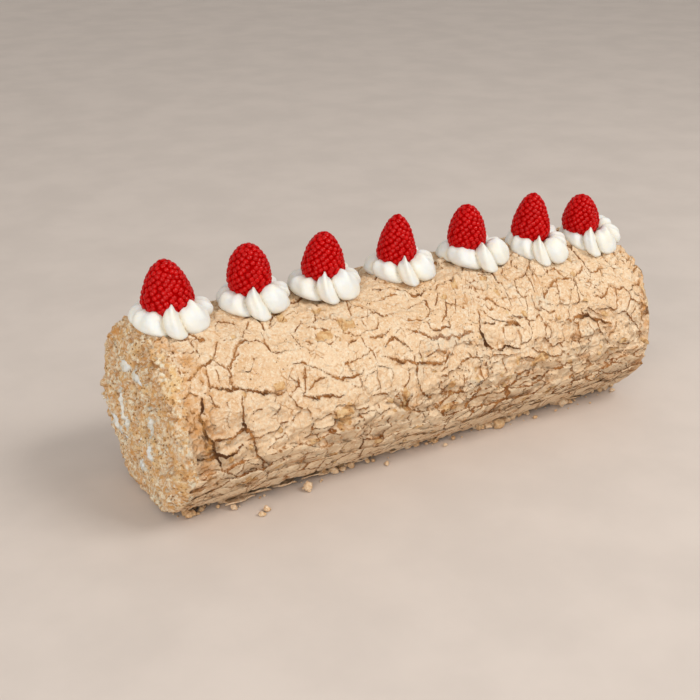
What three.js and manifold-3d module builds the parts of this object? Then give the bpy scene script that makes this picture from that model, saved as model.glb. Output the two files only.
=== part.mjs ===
// A rolled nut-meringue sponge with whipped cream inside. Seven piped cream rosettes stand in a row along
// its top, and a raspberry stands point up in each of them.
// Millimetres. +X runs along the roll, +Z is up, and the origin is on the board under the middle of the roll.
import * as THREE from "three";
import { ConvexGeometry } from "three/addons/geometries/ConvexGeometry.js";
import { mergeVertices } from "three/addons/utils/BufferGeometryUtils.js";
import Module from "manifold-3d";

const wasm = await Module();
wasm.setup();

// The roll: a slumped round section, cut off below by the board, with worn round edges at both ends.
const ROLL_LENGTH = 279;
const ROLL_WIDTH = 99;
const ROLL_HEIGHT = 88.5;
const SECTION_POWER = 2.08;
const FOOT_SHARE = 0.03;
const END_ROUND = 5;

// The crust has broken into plates, large at the -X end and small at the +X end.
const PLATE_AT_START = 24;
const PLATE_AT_END = 16;
const CRACK_DEPTH = 2;
const CRACK_HALF_WIDTH = 1.5;
const PLATE_LIFT = 1;
const FACE_ROUGHNESS = 1.3;

// The cream in the roll is one long band. From the seam at the back it dives under the outer layer, goes
// once round the core and then winds into it.
const BAND_THICKNESS = 4.4;
const BAND_CENTRE = { y: 3, z: 43 };
const BAND_TURNS = 1.62;
const SEAM_REACH = 50;
const RING_RADIUS = 24.5;
const CORE_RADIUS = 6;
const DIVE_TURN = 0.07;
const WIND_IN_FROM = 0.8;
const BAND_END_INSET = 0.8;
const GAP = 0.35;

// The rosettes rest on the crust, kept this far off the smooth surface that the plates follow.
const ROSETTE_LIFT = 0.5;
const ROSETTE_HEIGHT = 10.6;
const ROSETTE_LOBES = 6;
const STEPS_PER_LOBE = 5;
const BERRY_SEAT = 3.4;
const DRUPELETS = 56;
const DRUPELET_RISE = 0.7;

// Each rosette, from the -X end: where it sits, its radius and the turn of its lobes in degrees.
const ROSETTES = [
  { x: -119.6, y: 0.5, radius: 19.6, turn: 30 },
  { x: -77.4, y: 1, radius: 19.1, turn: 24 },
  { x: -38.3, y: 0.5, radius: 18.9, turn: 22 },
  { x: 6.8, y: 1, radius: 19.3, turn: 26 },
  { x: 52.6, y: 0, radius: 19.6, turn: 33 },
  { x: 89.6, y: -7, radius: 17.5, turn: 28 },
  { x: 124.8, y: -9, radius: 16.6, turn: 30 },
];

// Each rosette's berry: its middle and size, how far down it is widest, how pointed it is and its lean in
// degrees.
const BERRIES = [
  { x: -120.4, y: 0.5, width: 26.2, height: 27.2, widest: 0.7, point: 0.5, lean: -3 },
  { x: -78.8, y: 1, width: 22.6, height: 26.8, widest: 0.61, point: 0.15, lean: -1 },
  { x: -38.9, y: 0.5, width: 22.8, height: 26, widest: 0.68, point: 0.35, lean: 3 },
  { x: 4.4, y: 1, width: 21.7, height: 27.9, widest: 0.71, point: 0.5, lean: 2 },
  { x: 47.6, y: 0, width: 21.4, height: 26.3, widest: 0.68, point: 0.2, lean: -1 },
  { x: 86.9, y: -4, width: 22.2, height: 27.7, widest: 0.71, point: 0.45, lean: 2 },
  { x: 119.2, y: -7, width: 21.4, height: 22.8, widest: 0.66, point: 0.25, lean: -1 },
];

// The last rosette reaches past the end of the roll, which puts the middle of the whole this far along.
const MIDDLE_SHIFT = 0.5;

const CRUST_COLOUR = 0xe9c79c;
const CREAM_COLOUR = 0xf6f1e4;
const BERRY_COLOUR = 0xb3120f;

// Repeatable random numbers from 0 to 1.
function randomFrom(seed) {
  let state = seed;
  return () => {
    state = (state + 0x6d2b79f5) | 0;
    let t = Math.imul(state ^ (state >>> 15), 1 | state);
    t = (t + Math.imul(t ^ (t >>> 7), 61 | t)) ^ t;
    return ((t ^ (t >>> 14)) >>> 0) / 4294967296;
  };
}

// The section's outline as points at equal steps of its length, from the top centre round by the -Y side.
function sectionOutline() {
  const fine = [];
  const steps = 2880;
  const fullHeight = ROLL_HEIGHT / (1 - FOOT_SHARE);
  const power = (value) => Math.sign(value) * Math.abs(value) ** (2 / SECTION_POWER);
  for (let i = 0; i <= steps; i++) {
    const angle = Math.PI / 2 + (2 * Math.PI * i) / steps;
    const y = (ROLL_WIDTH / 2) * power(Math.cos(angle));
    const z = (fullHeight / 2) * (1 + power(Math.sin(angle))) - FOOT_SHARE * fullHeight;
    fine.push(new THREE.Vector2(y, Math.max(z, 0)));
  }
  const curve = new THREE.Path(fine);
  return { points: curve.getSpacedPoints(720), length: curve.getLength() };
}

const SECTION = sectionOutline();

// Where the section is at a distance v along it, with the outward normal there.
function sectionAt(v) {
  const count = SECTION.points.length - 1;
  const place = (((v / SECTION.length) % 1) + 1) % 1;
  const index = Math.min(Math.floor(place * count), count - 1);
  const point = SECTION.points[index].clone().lerp(SECTION.points[index + 1], place * count - index);
  const before = SECTION.points[(index - 3 + count) % count];
  const after = SECTION.points[(index + 4) % count];
  const along = after.clone().sub(before).normalize();
  return { point, normal: new THREE.Vector2(along.y, -along.x) };
}

// How far the round edge draws the surface in, near the ends.
function edgeInset(x) {
  const into = Math.min(Math.max((Math.abs(x) - (ROLL_LENGTH / 2 - END_ROUND)) / END_ROUND, 0), 1);
  return END_ROUND * (1 - Math.sqrt(1 - into * into));
}

// A point of the crust, lifted off the smooth roll. The foot stays flat on the board.
function crustPoint(x, v, lift) {
  const { point, normal } = sectionAt(v);
  const out = lift - edgeInset(x);
  if (point.y < 1e-6 && edgeInset(x) < 1e-6) return new THREE.Vector3(x, point.x, 0);
  return new THREE.Vector3(x, point.x + normal.x * out, Math.max(point.y + normal.y * out, 0));
}

// Seeds of the crust's plates: columns along the roll, each with its plates spread round it.
function plateSeeds(reach) {
  const random = randomFrom(41);
  const seeds = [];
  let x = -reach;
  while (x < reach) {
    const size = THREE.MathUtils.mapLinear(x, -reach, reach, PLATE_AT_START, PLATE_AT_END);
    const count = Math.round(SECTION.length / size);
    const shift = random();
    for (let i = 0; i < count; i++) {
      const across = x + size * (0.5 + 0.62 * (random() - 0.5));
      const round = ((i + shift + 0.62 * (random() - 0.5)) * SECTION.length) / count;
      seeds.push({ x: Math.min(across, reach - 1), v: round, size });
    }
    x += size;
  }
  return seeds;
}

// The part of a polygon that is nearer to one seed than to another.
function nearerPart(polygon, seed, other) {
  const middle = { x: (seed.x + other.x) / 2, v: (seed.v + other.v) / 2 };
  const side = (p) => (p.x - middle.x) * (other.x - seed.x) + (p.v - middle.v) * (other.v - seed.v);
  const kept = [];
  polygon.forEach((p, i) => {
    const next = polygon[(i + 1) % polygon.length];
    const here = side(p);
    const there = side(next);
    if (here <= 0) kept.push(p);
    if (here < 0 !== there < 0 && here !== there) {
      const t = here / (here - there);
      kept.push({ x: p.x + (next.x - p.x) * t, v: p.v + (next.v - p.v) * t });
    }
  });
  return kept;
}

// The outline of each plate: the places nearer to its seed than to any other, going round the roll.
function plateOutlines(reach) {
  const seeds = plateSeeds(reach);
  const near = 3.2 * PLATE_AT_START;
  return seeds.map((seed) => {
    let polygon = [
      { x: -reach, v: seed.v - near },
      { x: reach, v: seed.v - near },
      { x: reach, v: seed.v + near },
      { x: -reach, v: seed.v + near },
    ];
    for (const other of seeds) {
      for (const turn of [-1, 0, 1]) {
        const image = { x: other.x, v: other.v + turn * SECTION.length };
        const distance = Math.hypot(image.x - seed.x, image.v - seed.v);
        if (distance > 1e-9 && distance < near) polygon = nearerPart(polygon, seed, image);
      }
    }
    return { seed, polygon };
  });
}

// Whether a place on the crust is under a rosette.
function underRosette(x, v) {
  const { point } = sectionAt(v);
  if (point.y < ROLL_HEIGHT / 2) return false;
  return ROSETTES.some((rosette) => Math.hypot(x - rosette.x, point.x - rosette.y) < rosette.radius + 2);
}

// A closed mesh's triangles as a solid that can be joined and cut.
function solidFrom(geometry) {
  const bare = geometry.clone();
  bare.deleteAttribute("normal");
  bare.deleteAttribute("uv");
  const merged = mergeVertices(bare, 1e-3);
  return new wasm.Manifold(
    new wasm.Mesh({
      numProp: 3,
      vertProperties: merged.attributes.position.array,
      triVerts: new Uint32Array(merged.index.array),
    }),
  );
}

function geometryFrom(solid) {
  const mesh = solid.getMesh();
  const indexed = new THREE.BufferGeometry();
  indexed.setAttribute("position", new THREE.BufferAttribute(mesh.vertProperties, 3));
  indexed.setIndex(new THREE.BufferAttribute(mesh.triVerts, 1));
  const faceted = indexed.toNonIndexed();
  faceted.computeVertexNormals();
  return faceted;
}

// Triangles given as triples of points.
function geometryOf(triangles) {
  const positions = triangles.flatMap((triangle) => triangle.flatMap((p) => [p.x, p.y, p.z]));
  const geometry = new THREE.BufferGeometry();
  geometry.setAttribute("position", new THREE.BufferAttribute(new Float32Array(positions), 3));
  geometry.computeVertexNormals();
  return geometry;
}

// The cracked crust between the round edges, as raised plates with grooves between them.
function crustPlates(reach, rims) {
  const random = randomFrom(7);
  const triangles = [];
  for (const { seed, polygon } of plateOutlines(reach)) {
    const centre = { x: 0, v: 0 };
    polygon.forEach((p) => {
      centre.x += p.x / polygon.length;
      centre.v += p.v / polygon.length;
    });
    const tilt = { x: 0.05 * (random() - 0.5), v: 0.05 * (random() - 0.5) };
    const level = PLATE_LIFT * (random() - 0.35);
    const covered = underRosette(seed.x, seed.v);
    const height = (p) => {
      const lift = level + tilt.x * (p.x - centre.x) + tilt.v * (p.v - centre.v);
      return covered || underRosette(p.x, p.v) ? Math.min(lift, 0) : lift;
    };
    const low = polygon.map((p) => crustPoint(p.x, p.v, -CRACK_DEPTH));
    const high = polygon.map((p) => {
      const reachIn = Math.min(CRACK_HALF_WIDTH / Math.hypot(p.x - centre.x, p.v - centre.v), 0.3);
      const q = { x: p.x + (centre.x - p.x) * reachIn, v: p.v + (centre.v - p.v) * reachIn };
      return crustPoint(q.x, q.v, height(q));
    });
    const top = crustPoint(centre.x, centre.v, height(centre));
    polygon.forEach((p, i) => {
      const next = (i + 1) % polygon.length;
      triangles.push([low[next], low[i], high[i]], [low[next], high[i], high[next]]);
      triangles.push([high[next], high[i], top]);
      const q = polygon[next];
      if (Math.abs(p.x + reach) < 1e-6 && Math.abs(q.x + reach) < 1e-6) rims.start.push([p, q]);
      if (Math.abs(p.x - reach) < 1e-6 && Math.abs(q.x - reach) < 1e-6) rims.end.push([p, q]);
    });
  }
  return triangles;
}

// The round edge and the crumbly face at one end, built outwards-in from the edges of the last plates.
function endCap(edges, sign) {
  const random = randomFrom(sign > 0 ? 19 : 23);
  const heights = new Map();
  const roughness = (key) => {
    if (!heights.has(key)) heights.set(key, FACE_ROUGHNESS * (random() - 0.5));
    return heights.get(key);
  };
  const face = (p, share, ring) => {
    const { point } = sectionAt(p.v);
    const turn = (((p.v / SECTION.length) % 1) + 1) % 1;
    const middle = ROLL_HEIGHT / 2;
    const out = ring === "middle" ? 0 : roughness(`${ring}:${Math.round((turn * 1e5) % 1e5)}`);
    const x = sign * (ROLL_LENGTH / 2) + out;
    return new THREE.Vector3(x, point.x * share, middle + (point.y - middle) * share);
  };
  const edgeX = sign * (ROLL_LENGTH / 2 - 0.22 * END_ROUND);
  const rings = [
    (p) => crustPoint(p.x, p.v, -CRACK_DEPTH),
    (p) => crustPoint(edgeX, p.v, -0.3),
    (p) => face(p, 0.8, "outer"),
    (p) => face(p, 0.5, "inner"),
    (p) => face(p, 0, "middle"),
  ];
  const triangles = [];
  for (const [p, q] of edges) {
    for (let i = 0; i + 1 < rings.length; i++) {
      const [a, b, c, d] = [rings[i](p), rings[i](q), rings[i + 1](p), rings[i + 1](q)];
      triangles.push([a, b, c]);
      if (i + 2 < rings.length) triangles.push([c, b, d]);
    }
  }
  return triangles;
}

// The middle line of the cream band in the section: the seam, the dive, one ring and the way into the core.
function bandLine(fromTurn = 0) {
  const steps = 46;
  const line = [];
  for (let i = 0; i <= steps; i++) {
    const turn = fromTurn + (BAND_TURNS - fromTurn) * (i / steps) ** 1.25;
    const windIn = THREE.MathUtils.smoothstep(turn, WIND_IN_FROM, BAND_TURNS);
    const ring = THREE.MathUtils.lerp(RING_RADIUS, CORE_RADIUS, windIn);
    const radius = ring + (SEAM_REACH - RING_RADIUS) * Math.exp(-turn / DIVE_TURN);
    const angle = 2 * Math.PI * turn;
    const y = BAND_CENTRE.y + radius * 0.86 * Math.cos(angle);
    line.push(new THREE.Vector2(y, BAND_CENTRE.z - radius * Math.sin(angle)));
  }
  return line;
}

// A band of even thickness along that line, run along X.
function bandGeometry(line, thickness, length) {
  const sides = [[], []];
  line.forEach((p, i) => {
    const before = line[Math.max(i - 1, 0)];
    const after = line[Math.min(i + 1, line.length - 1)];
    const along = after.clone().sub(before).normalize();
    const across = new THREE.Vector2(-along.y, along.x).multiplyScalar(thickness / 2);
    sides[0].push(p.clone().add(across));
    sides[1].unshift(p.clone().sub(across));
  });
  const shape = new THREE.Shape([...sides[0], ...sides[1]]);
  const geometry = new THREE.ExtrudeGeometry(shape, { depth: length, bevelEnabled: false });
  geometry.translate(0, 0, -length / 2);
  const turned = new THREE.Matrix4().makeBasis(
    new THREE.Vector3(0, 1, 0),
    new THREE.Vector3(0, 0, 1),
    new THREE.Vector3(1, 0, 0),
  );
  return geometry.applyMatrix4(turned);
}

function rouladeGeometry() {
  const reach = ROLL_LENGTH / 2 - END_ROUND;
  const rims = { start: [], end: [] };
  const triangles = crustPlates(reach, rims);
  triangles.push(...endCap(rims.start, -1), ...endCap(rims.end, 1));
  const whole = solidFrom(geometryOf(triangles));
  const slot = solidFrom(bandGeometry(bandLine(), BAND_THICKNESS + 2 * GAP, ROLL_LENGTH + 20));
  return geometryFrom(whole.subtract(slot));
}

function fillingGeometry() {
  const line = bandLine(0.012);
  const last = line.length - 1;
  line[last].lerp(line[last - 1], 0.3);
  return bandGeometry(line, BAND_THICKNESS, ROLL_LENGTH - 2 * BAND_END_INSET);
}

// Height of the smooth roll's top at a distance across it.
function topHeight(y) {
  const fullHeight = ROLL_HEIGHT / (1 - FOOT_SHARE);
  const share = (1 - Math.abs((2 * y) / ROLL_WIDTH) ** SECTION_POWER) ** (1 / SECTION_POWER);
  return (fullHeight / 2) * (1 + share) - FOOT_SHARE * fullHeight;
}

// The berry's outline: half its width at a share of the way down from its tip.
function berryProfile(berry, share) {
  const half = berry.width / 2 - DRUPELET_RISE;
  const rise = Math.min(share / berry.widest, 1);
  const upper = THREE.MathUtils.lerp(Math.sqrt(1 - (1 - rise) ** 2), rise ** 0.66, berry.point);
  const below = Math.max(share - berry.widest, 0) / (1 - berry.widest);
  return new THREE.Vector2(half * upper * Math.sqrt(1 - (0.8 * below) ** 2), berry.height * (1 - share));
}

// The outline from the tip down and in along the base, at equal steps of its length.
function berryOutline(berry) {
  const points = [];
  for (let i = 0; i <= 40; i++) points.push(berryProfile(berry, (i / 40) ** 1.6));
  points.push(new THREE.Vector2(0, 0));
  return new THREE.Path(points).getSpacedPoints(80);
}

// A raspberry: drupelets spread by the golden angle, each a low boss with a groove round it.
function berryGeometry(berry) {
  const outline = berryOutline(berry);
  const directions = [];
  for (let i = 0; i < DRUPELETS; i++) {
    const polar = Math.acos(1 - (2 * (i + 0.5)) / DRUPELETS);
    const azimuth = i * Math.PI * (3 - Math.sqrt(5));
    directions.push(new THREE.Vector3().setFromSphericalCoords(1, polar, azimuth));
  }
  const onBerry = (direction, lift) => {
    const polar = Math.acos(THREE.MathUtils.clamp(direction.y / direction.length(), -1, 1));
    const place = (polar / Math.PI) * (outline.length - 1);
    const index = Math.min(Math.floor(place), outline.length - 2);
    const here = outline[index].clone().lerp(outline[index + 1], place - index);
    const along = outline[index + 1].clone().sub(outline[index]).normalize();
    const out = here.clone().add(new THREE.Vector2(-along.y, along.x).multiplyScalar(lift));
    const azimuth = Math.atan2(direction.x, direction.z);
    const radius = Math.max(out.x, 0);
    return new THREE.Vector3(radius * Math.sin(azimuth), -radius * Math.cos(azimuth), Math.max(out.y, 0));
  };
  const hull = new ConvexGeometry(directions).attributes.position;
  const triangles = [];
  for (let i = 0; i < hull.count; i += 3) {
    const corners = [0, 1, 2].map((k) => new THREE.Vector3().fromBufferAttribute(hull, i + k));
    const middle = corners[0].clone().add(corners[1]).add(corners[2]);
    corners.forEach((corner, k) => {
      const next = corners[(k + 1) % 3];
      const halfway = corner.clone().add(next);
      const [valley, pit] = [onBerry(halfway, -0.1), onBerry(middle, -DRUPELET_RISE)];
      triangles.push([onBerry(corner, DRUPELET_RISE), valley, pit]);
      triangles.push([valley, onBerry(next, DRUPELET_RISE), pit]);
    });
  }
  return geometryOf(triangles);
}

function berrySeat(berry) {
  return new THREE.Vector3(berry.x, berry.y, topHeight(berry.y) + BERRY_SEAT);
}

// The room that a berry takes in its rosette, with the gap round it.
function berryPocket(berry) {
  const grow = GAP + 2 * DRUPELET_RISE;
  const points = [new THREE.Vector2(0, -GAP)];
  for (const share of [1, 0.86, 0.7, 0.5, 0.3, 0.12]) {
    const p = berryProfile(berry, share);
    points.push(new THREE.Vector2(p.x + grow, share === 1 ? -GAP : p.y));
  }
  points.push(new THREE.Vector2(0, berry.height + grow));
  const lathe = new THREE.LatheGeometry(points, 18);
  lathe.rotateX(Math.PI / 2);
  lathe.rotateY(THREE.MathUtils.degToRad(berry.lean));
  const seat = berrySeat(berry);
  return solidFrom(lathe.translate(seat.x, seat.y, seat.z));
}

// A rosette of soft lobes pressed out by a star nozzle, resting on the round of the roll.
function rosetteGeometry(rosette, berry) {
  const around = ROSETTE_LOBES * STEPS_PER_LOBE;
  const random = randomFrom(Math.round(rosette.x * 10) + 5000);
  const lobe = () => ({ reach: 0.94 + 0.06 * random(), rise: 0.86 + 0.22 * random() });
  const lobes = Array.from({ length: ROSETTE_LOBES }, lobe);
  const bottom = (y) => topHeight(y) + ROSETTE_LIFT;
  const point = (i, share, height) => {
    const turned = (i / STEPS_PER_LOBE) % ROSETTE_LOBES;
    const crest = Math.sin(Math.PI * (turned % 1)) ** 0.7;
    const angle = (2 * Math.PI * i) / around + THREE.MathUtils.degToRad(rosette.turn);
    const own = lobes[Math.floor(turned)];
    const reach = own.reach * (0.8 + 0.2 * crest);
    const r = rosette.radius * share * THREE.MathUtils.lerp(1, reach, Math.min(share * 1.3, 1));
    const rise = height * ROSETTE_HEIGHT * (height > 0.5 ? own.rise * (0.76 + 0.24 * crest) : 1);
    const y = rosette.y + r * Math.sin(angle);
    return new THREE.Vector3(rosette.x + r * Math.cos(angle), y, bottom(y) + rise);
  };
  const rings = [[0.45, 0], [0.88, 0], [1, 0.32], [0.93, 0.7], [0.72, 1], [0.42, 0.75]];
  const floor = new THREE.Vector3(rosette.x, rosette.y, bottom(rosette.y));
  const heart = floor.clone().add(new THREE.Vector3(0, 0, 0.7 * ROSETTE_HEIGHT));
  const triangles = [];
  for (let i = 0; i < around; i++) {
    const next = (i + 1) % around;
    const side = rings.map(([share, height]) => [point(i, share, height), point(next, share, height)]);
    triangles.push([floor, side[0][1], side[0][0]]);
    for (let k = 0; k + 1 < side.length; k++) {
      const [[a, b], [c, d]] = [side[k], side[k + 1]];
      triangles.push([a, b, c], [b, d, c]);
    }
    const [last, lastNext] = side[side.length - 1];
    triangles.push([last, lastNext, heart]);
  }
  return geometryFrom(solidFrom(geometryOf(triangles)).subtract(berryPocket(berry)));
}

function named(name, geometry, color, roughness) {
  const material = new THREE.MeshStandardMaterial({ color, roughness, metalness: 0 });
  const mesh = new THREE.Mesh(geometry, material);
  mesh.name = name;
  return mesh;
}

const cake = new THREE.Group();
cake.add(named("roulade", rouladeGeometry(), CRUST_COLOUR, 0.85));
cake.add(named("cream_filling", fillingGeometry(), CREAM_COLOUR, 0.45));

ROSETTES.forEach((rosette, i) => {
  const berry = BERRIES[i];
  cake.add(named(`cream_rosette_${i + 1}`, rosetteGeometry(rosette, berry), CREAM_COLOUR, 0.45));
  const raspberry = named(`raspberry_${i + 1}`, berryGeometry(berry), BERRY_COLOUR, 0.35);
  raspberry.position.copy(berrySeat(berry));
  raspberry.rotation.y = THREE.MathUtils.degToRad(berry.lean);
  cake.add(raspberry);
});

cake.position.x = -MIDDLE_SHIFT;

export default cake;
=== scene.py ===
import math

import bpy
import numpy as np
from bpy.props import FloatProperty, FloatVectorProperty, IntProperty, PointerProperty
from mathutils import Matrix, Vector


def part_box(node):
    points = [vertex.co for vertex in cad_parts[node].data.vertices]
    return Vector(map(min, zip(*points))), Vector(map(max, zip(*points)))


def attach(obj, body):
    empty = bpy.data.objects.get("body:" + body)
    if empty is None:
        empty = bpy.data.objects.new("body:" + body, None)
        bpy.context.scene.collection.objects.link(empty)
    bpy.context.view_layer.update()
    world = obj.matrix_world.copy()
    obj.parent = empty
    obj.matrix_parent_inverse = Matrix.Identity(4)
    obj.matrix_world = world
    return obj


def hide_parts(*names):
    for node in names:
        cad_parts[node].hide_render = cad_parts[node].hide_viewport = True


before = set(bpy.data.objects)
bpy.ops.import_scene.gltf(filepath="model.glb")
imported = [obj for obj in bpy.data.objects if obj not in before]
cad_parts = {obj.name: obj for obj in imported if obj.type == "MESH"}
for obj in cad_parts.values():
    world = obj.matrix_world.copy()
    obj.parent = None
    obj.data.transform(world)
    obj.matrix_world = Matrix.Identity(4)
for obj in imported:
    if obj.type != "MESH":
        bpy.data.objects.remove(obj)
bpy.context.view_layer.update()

bl_info = {
    "name": "Meringue Roulade",
    "version": (1, 0, 0),
    "blender": (4, 5, 0),
    "location": "3D View > Sidebar > Roulade",
    "description": "Bakes a cracked meringue roulade with cream rosettes and raspberries",
    "category": "Object",
}

# Lengths are millimetres until a mesh is made, and the roll lies along X with its top line at Y = 0.
MM = 0.001
ROLL_LENGTH = 279
ROLL_WIDTH = 99
ROLL_HEIGHT = 88.5
SECTION_POWER = 2.08
FOOT_SHARE = 0.03
ROLL_MIDDLE = -0.5
FACE_MIDDLE = (0, 43)
RIM_RADIUS = 5
END_STRIP = 25
SEAM_SHARE = 0.745
ON_FLOOR = 1e-6
FAR_AWAY = 99.0

# The cream band winds in from the seam at the back.
BAND_MIDDLE = (3, 43)
BAND_FLATTEN = 0.86
BAND_TURNS = 1.62
SEAM_REACH = 50
RING_RADIUS = 24.5
CORE_RADIUS = 6
DIVE_TURN = 0.07
WIND_IN_FROM = 0.8

# The cracks of the front: millimetres from the near end and round from the top line, the width, and how
# far the crust above the crack stands over the crust below it.
MAIN_CRACKS = (
    (((20, 45), (24, 47), (30, 50), (39, 52), (54, 56)), 0.9, 1.1),
    (((63, 60), (76, 62), (84, 62)), 0.7, 1.2),
    (((15, 49), (12, 57), (13, 64), (16, 70), (18, 78), (19, 82)), 1.5, 0.5),
    (((-1, 78), (6, 78), (13, 78), (18, 78), (24, 79), (31, 76)), 1.05, 1.4),
    (((33, 54), (32, 65), (35, 72), (39, 82), (42, 92)), 0.8, 0),
    (((11, 40), (19, 37), (25, 34), (32, 26)), 0.6, 0.4),
    (((0, 20), (8, 15), (11, 14)), 0.5, 0),
    (((33, 38), (39, 30), (45, 28), (52, 30), (55, 36), (66, 37)), 0.6, 0.5),
    (((121, 13), (134, 16), (144, 22), (150, 21), (170, 18)), 0.8, 0.9),
    (((129, 26), (143, 25), (144, 30), (140, 35), (127, 36)), 0.6, 0),
    (((126, 40), (131, 44), (138, 48), (151, 49), (158, 49), (166, 50)), 0.5, 1.3),
    (((169, 38), (167, 45), (166, 51), (168, 58), (172, 62), (179, 60), (187, 62)), 0.9, 0.9),
    (((170, 38), (174, 44), (180, 48), (189, 50)), 0.6, 0),
    (((125, 55), (124, 66), (128, 74), (134, 78)), 0.9, 0),
    (((108, 49), (117, 54), (123, 56), (133, 60), (142, 60), (146, 57)), 0.7, 1.3),
    (((190, 85), (193, 84), (205, 84)), 1.1, 1.4),
    (((224, 56), (233, 55), (239, 59), (247, 62)), 0.9, 1.1),
    (((240, 60), (240, 64), (247, 74)), 0.7, 0),
    (((111, 46), (118, 42), (122, 47), (124, 52)), 0.6, 1.5),
    (((112, 71), (117, 79), (122, 91)), 0.5, 0),
    (((157, 85), (176, 86), (194, 78)), 0.7, 1),
    (((22, 36), (20, 43), (20, 45)), 0.5, 0),
    (((26, 37), (24, 44)), 0.4, 0),
    (((32, 38), (30, 45), (30, 49)), 0.5, 0),
    (((26, 32), (31, 38), (39, 32)), 0.5, 0),
    (((26, 52), (25, 60), (26, 67)), 0.35, 0),
    (((16, 70), (24, 71), (33, 68), (36, 71)), 0.7, 0.7),
    (((34, 75), (41, 73), (48, 72), (54, 69)), 0.4, 0.5),
    (((55, 56), (57, 60), (60, 64), (62, 66)), 0.5, 0),
    (((67, 48), (65, 56), (63, 60)), 0.4, 0),
    (((61, 46), (67, 46), (75, 49), (82, 56), (90, 56), (97, 54)), 0.5, 0.5),
    (((90, 72), (96, 72)), 0.6, 0.9),
    (((44, 83), (52, 82), (61, 82), (70, 87), (79, 88)), 0.4, 0.6),
    (((57, 94), (65, 95), (73, 93)), 0.4, 0.7),
    (((19, 90), (27, 93), (38, 91), (42, 94)), 0.5, 0.8),
    (((4, 86), (12, 85), (19, 85)), 0.4, 0.6),
    (((54, 16), (48, 21), (44, 27), (34, 26)), 0.4, 0),
    (((54, 24), (53, 34), (56, 36)), 0.4, 0),
    (((68, 26), (69, 35), (74, 39), (78, 38)), 0.5, 0),
    (((77, 26), (83, 32), (91, 35)), 0.4, 0.5),
    (((105, 40), (112, 40), (118, 38)), 0.6, 0.7),
    (((172, 31), (178, 35), (182, 40), (188, 43)), 0.5, 0.4),
    (((180, 50), (185, 50), (188, 51), (192, 54)), 0.7, 0.8),
    (((204, 39), (203, 46), (209, 49), (215, 49)), 0.6, 0.5),
    (((194, 65), (202, 69), (209, 72), (216, 71)), 0.6, 0.9),
    (((184, 75), (187, 78), (194, 76)), 0.7, 0.9),
    (((229, 77), (234, 73), (234, 68)), 0.6, 0),
    (((251, 74), (262, 78)), 0.6, 0),
    (((138, 66), (148, 66), (156, 68)), 0.35, 0),
    (((114, 68), (118, 79), (120, 70)), 0.7, 0.6),
    (((98, 66), (107, 68), (112, 76)), 0.4, 0.5),
    (((152, 85), (159, 84), (166, 86)), 0.6, 0.9),
)

# Where a flake of crust is missing: from the near end, round from the top line, half length, half width
# and depth.
BARE_SPOTS = (
    (82, 35, 4, 2.5, 1.0),
    (96, 31, 4.5, 4, 1.2),
    (68, 15, 2.4, 4, 1.0),
    (87, 19, 3, 2.6, 1.4),
    (52, 52, 2.4, 1.8, 1.7),
    (82, 71, 5, 2.2, 2.0),
    (84, 76, 3, 2, 0.9),
    (116, 73, 1.5, 6, 1.4),
    (145, 86, 4.5, 2, 1.2),
    (200, 71, 4.5, 2.4, 1.2),
)

# Where cream has smeared grey over the crust, in the same way, and how far the crust has sunk there.
SMEARS = (
    (3, 70, 5, 6, 0.3),
    (147, 51, 16, 3.4, 1.0),
    (207, 44, 6, 4, 0.8),
    (158, 75, 5, 2, 1.2),
    (150, 84, 5, 1.5, 0.8),
    (101, 27, 6, 2.2, 1.2),
    (232, 64, 4, 2, 0.8),
)

# Crumbs that lie together: the middle of each group, its spread both ways and how many there are.
CRUMB_GROUPS = (
    (-48, -22.5, 8, 3, 18),
    (47, -23.5, 9, 4.5, 34),
    (74, -22, 8, 3, 16),
    (96, -25, 3, 2, 7),
    (-94, -23, 14, 3, 16),
    (-70, -35, 3, 3, 3),
    (-98, -43, 4, 3, 3),
    (6, -23, 14, 3, 16),
    (128, -23, 8, 3, 14),
    (-120, -25, 10, 4, 10),
)

LOOSE_CRUMBS = 180

# The larger crumbs in front: place along and across, and size.
LARGE_CRUMBS = (
    (51, -30, 3.1),
    (58, -28, 2.5),
    (46, -28, 2.4),
    (40, -26.5, 2.3),
    (53, -26.5, 2.0),
    (63, -26.5, 2.2),
    (68, -25.5, 1.7),
    (97, -28.5, 3.0),
    (102, -27.5, 2.1),
    (-50, -27, 2.5),
    (-45, -27.5, 2.1),
    (-40, -26.5, 1.9),
    (-56, -26, 2.2),
    (-30, -27, 1.5),
    (12, -27, 1.7),
    (131, -25, 2.2),
    (137, -22, 2.6),
    (142, -17, 2.0),
)

# Flakes under the front: place along and across, half length, half width, turn and lean in degrees.
FRONT_FLAKES = (
    (-103, -27, 8, 6, 6, 14),
    (-93, -26, 7, 5.5, -9, 22),
    (-78, -26, 6, 4.5, -4, 20),
    (-60, -26, 7, 5, -8, 18),
    (-34, -24.5, 6, 4, 8, 20),
    (-9, -24.5, 8, 4, 5, 20),
    (29, -24, 6, 4, -9, 22),
    (61, -24, 8, 4.5, 6, 16),
    (104, -24.5, 7, 4, -4, 18),
)
BACK_FLAKES = 9
FLAKE_RINGS = 5
FLAKE_SPOKES = 30

# The crust's marks that loose bits don't have.
LOOSE_ZEROS = ("depth", "crumb", "rim", "smear", "pore", "toast", "low", "curl", "residue")

# The turns of the cream band that show at each end; the rest is under crumbs.
SHOWING_NEAR = ((0.0, 0.105), (0.27, 0.31), (0.4, 0.45), (0.5, 0.57), (0.66, 0.71), (0.78, 0.83), (0.98, 1.1))
SHOWING_FAR = ((0.02, 0.14), (0.22, 0.3), (0.38, 0.5), (0.6, 0.72), (0.85, 0.97), (1.1, 1.3))

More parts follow.
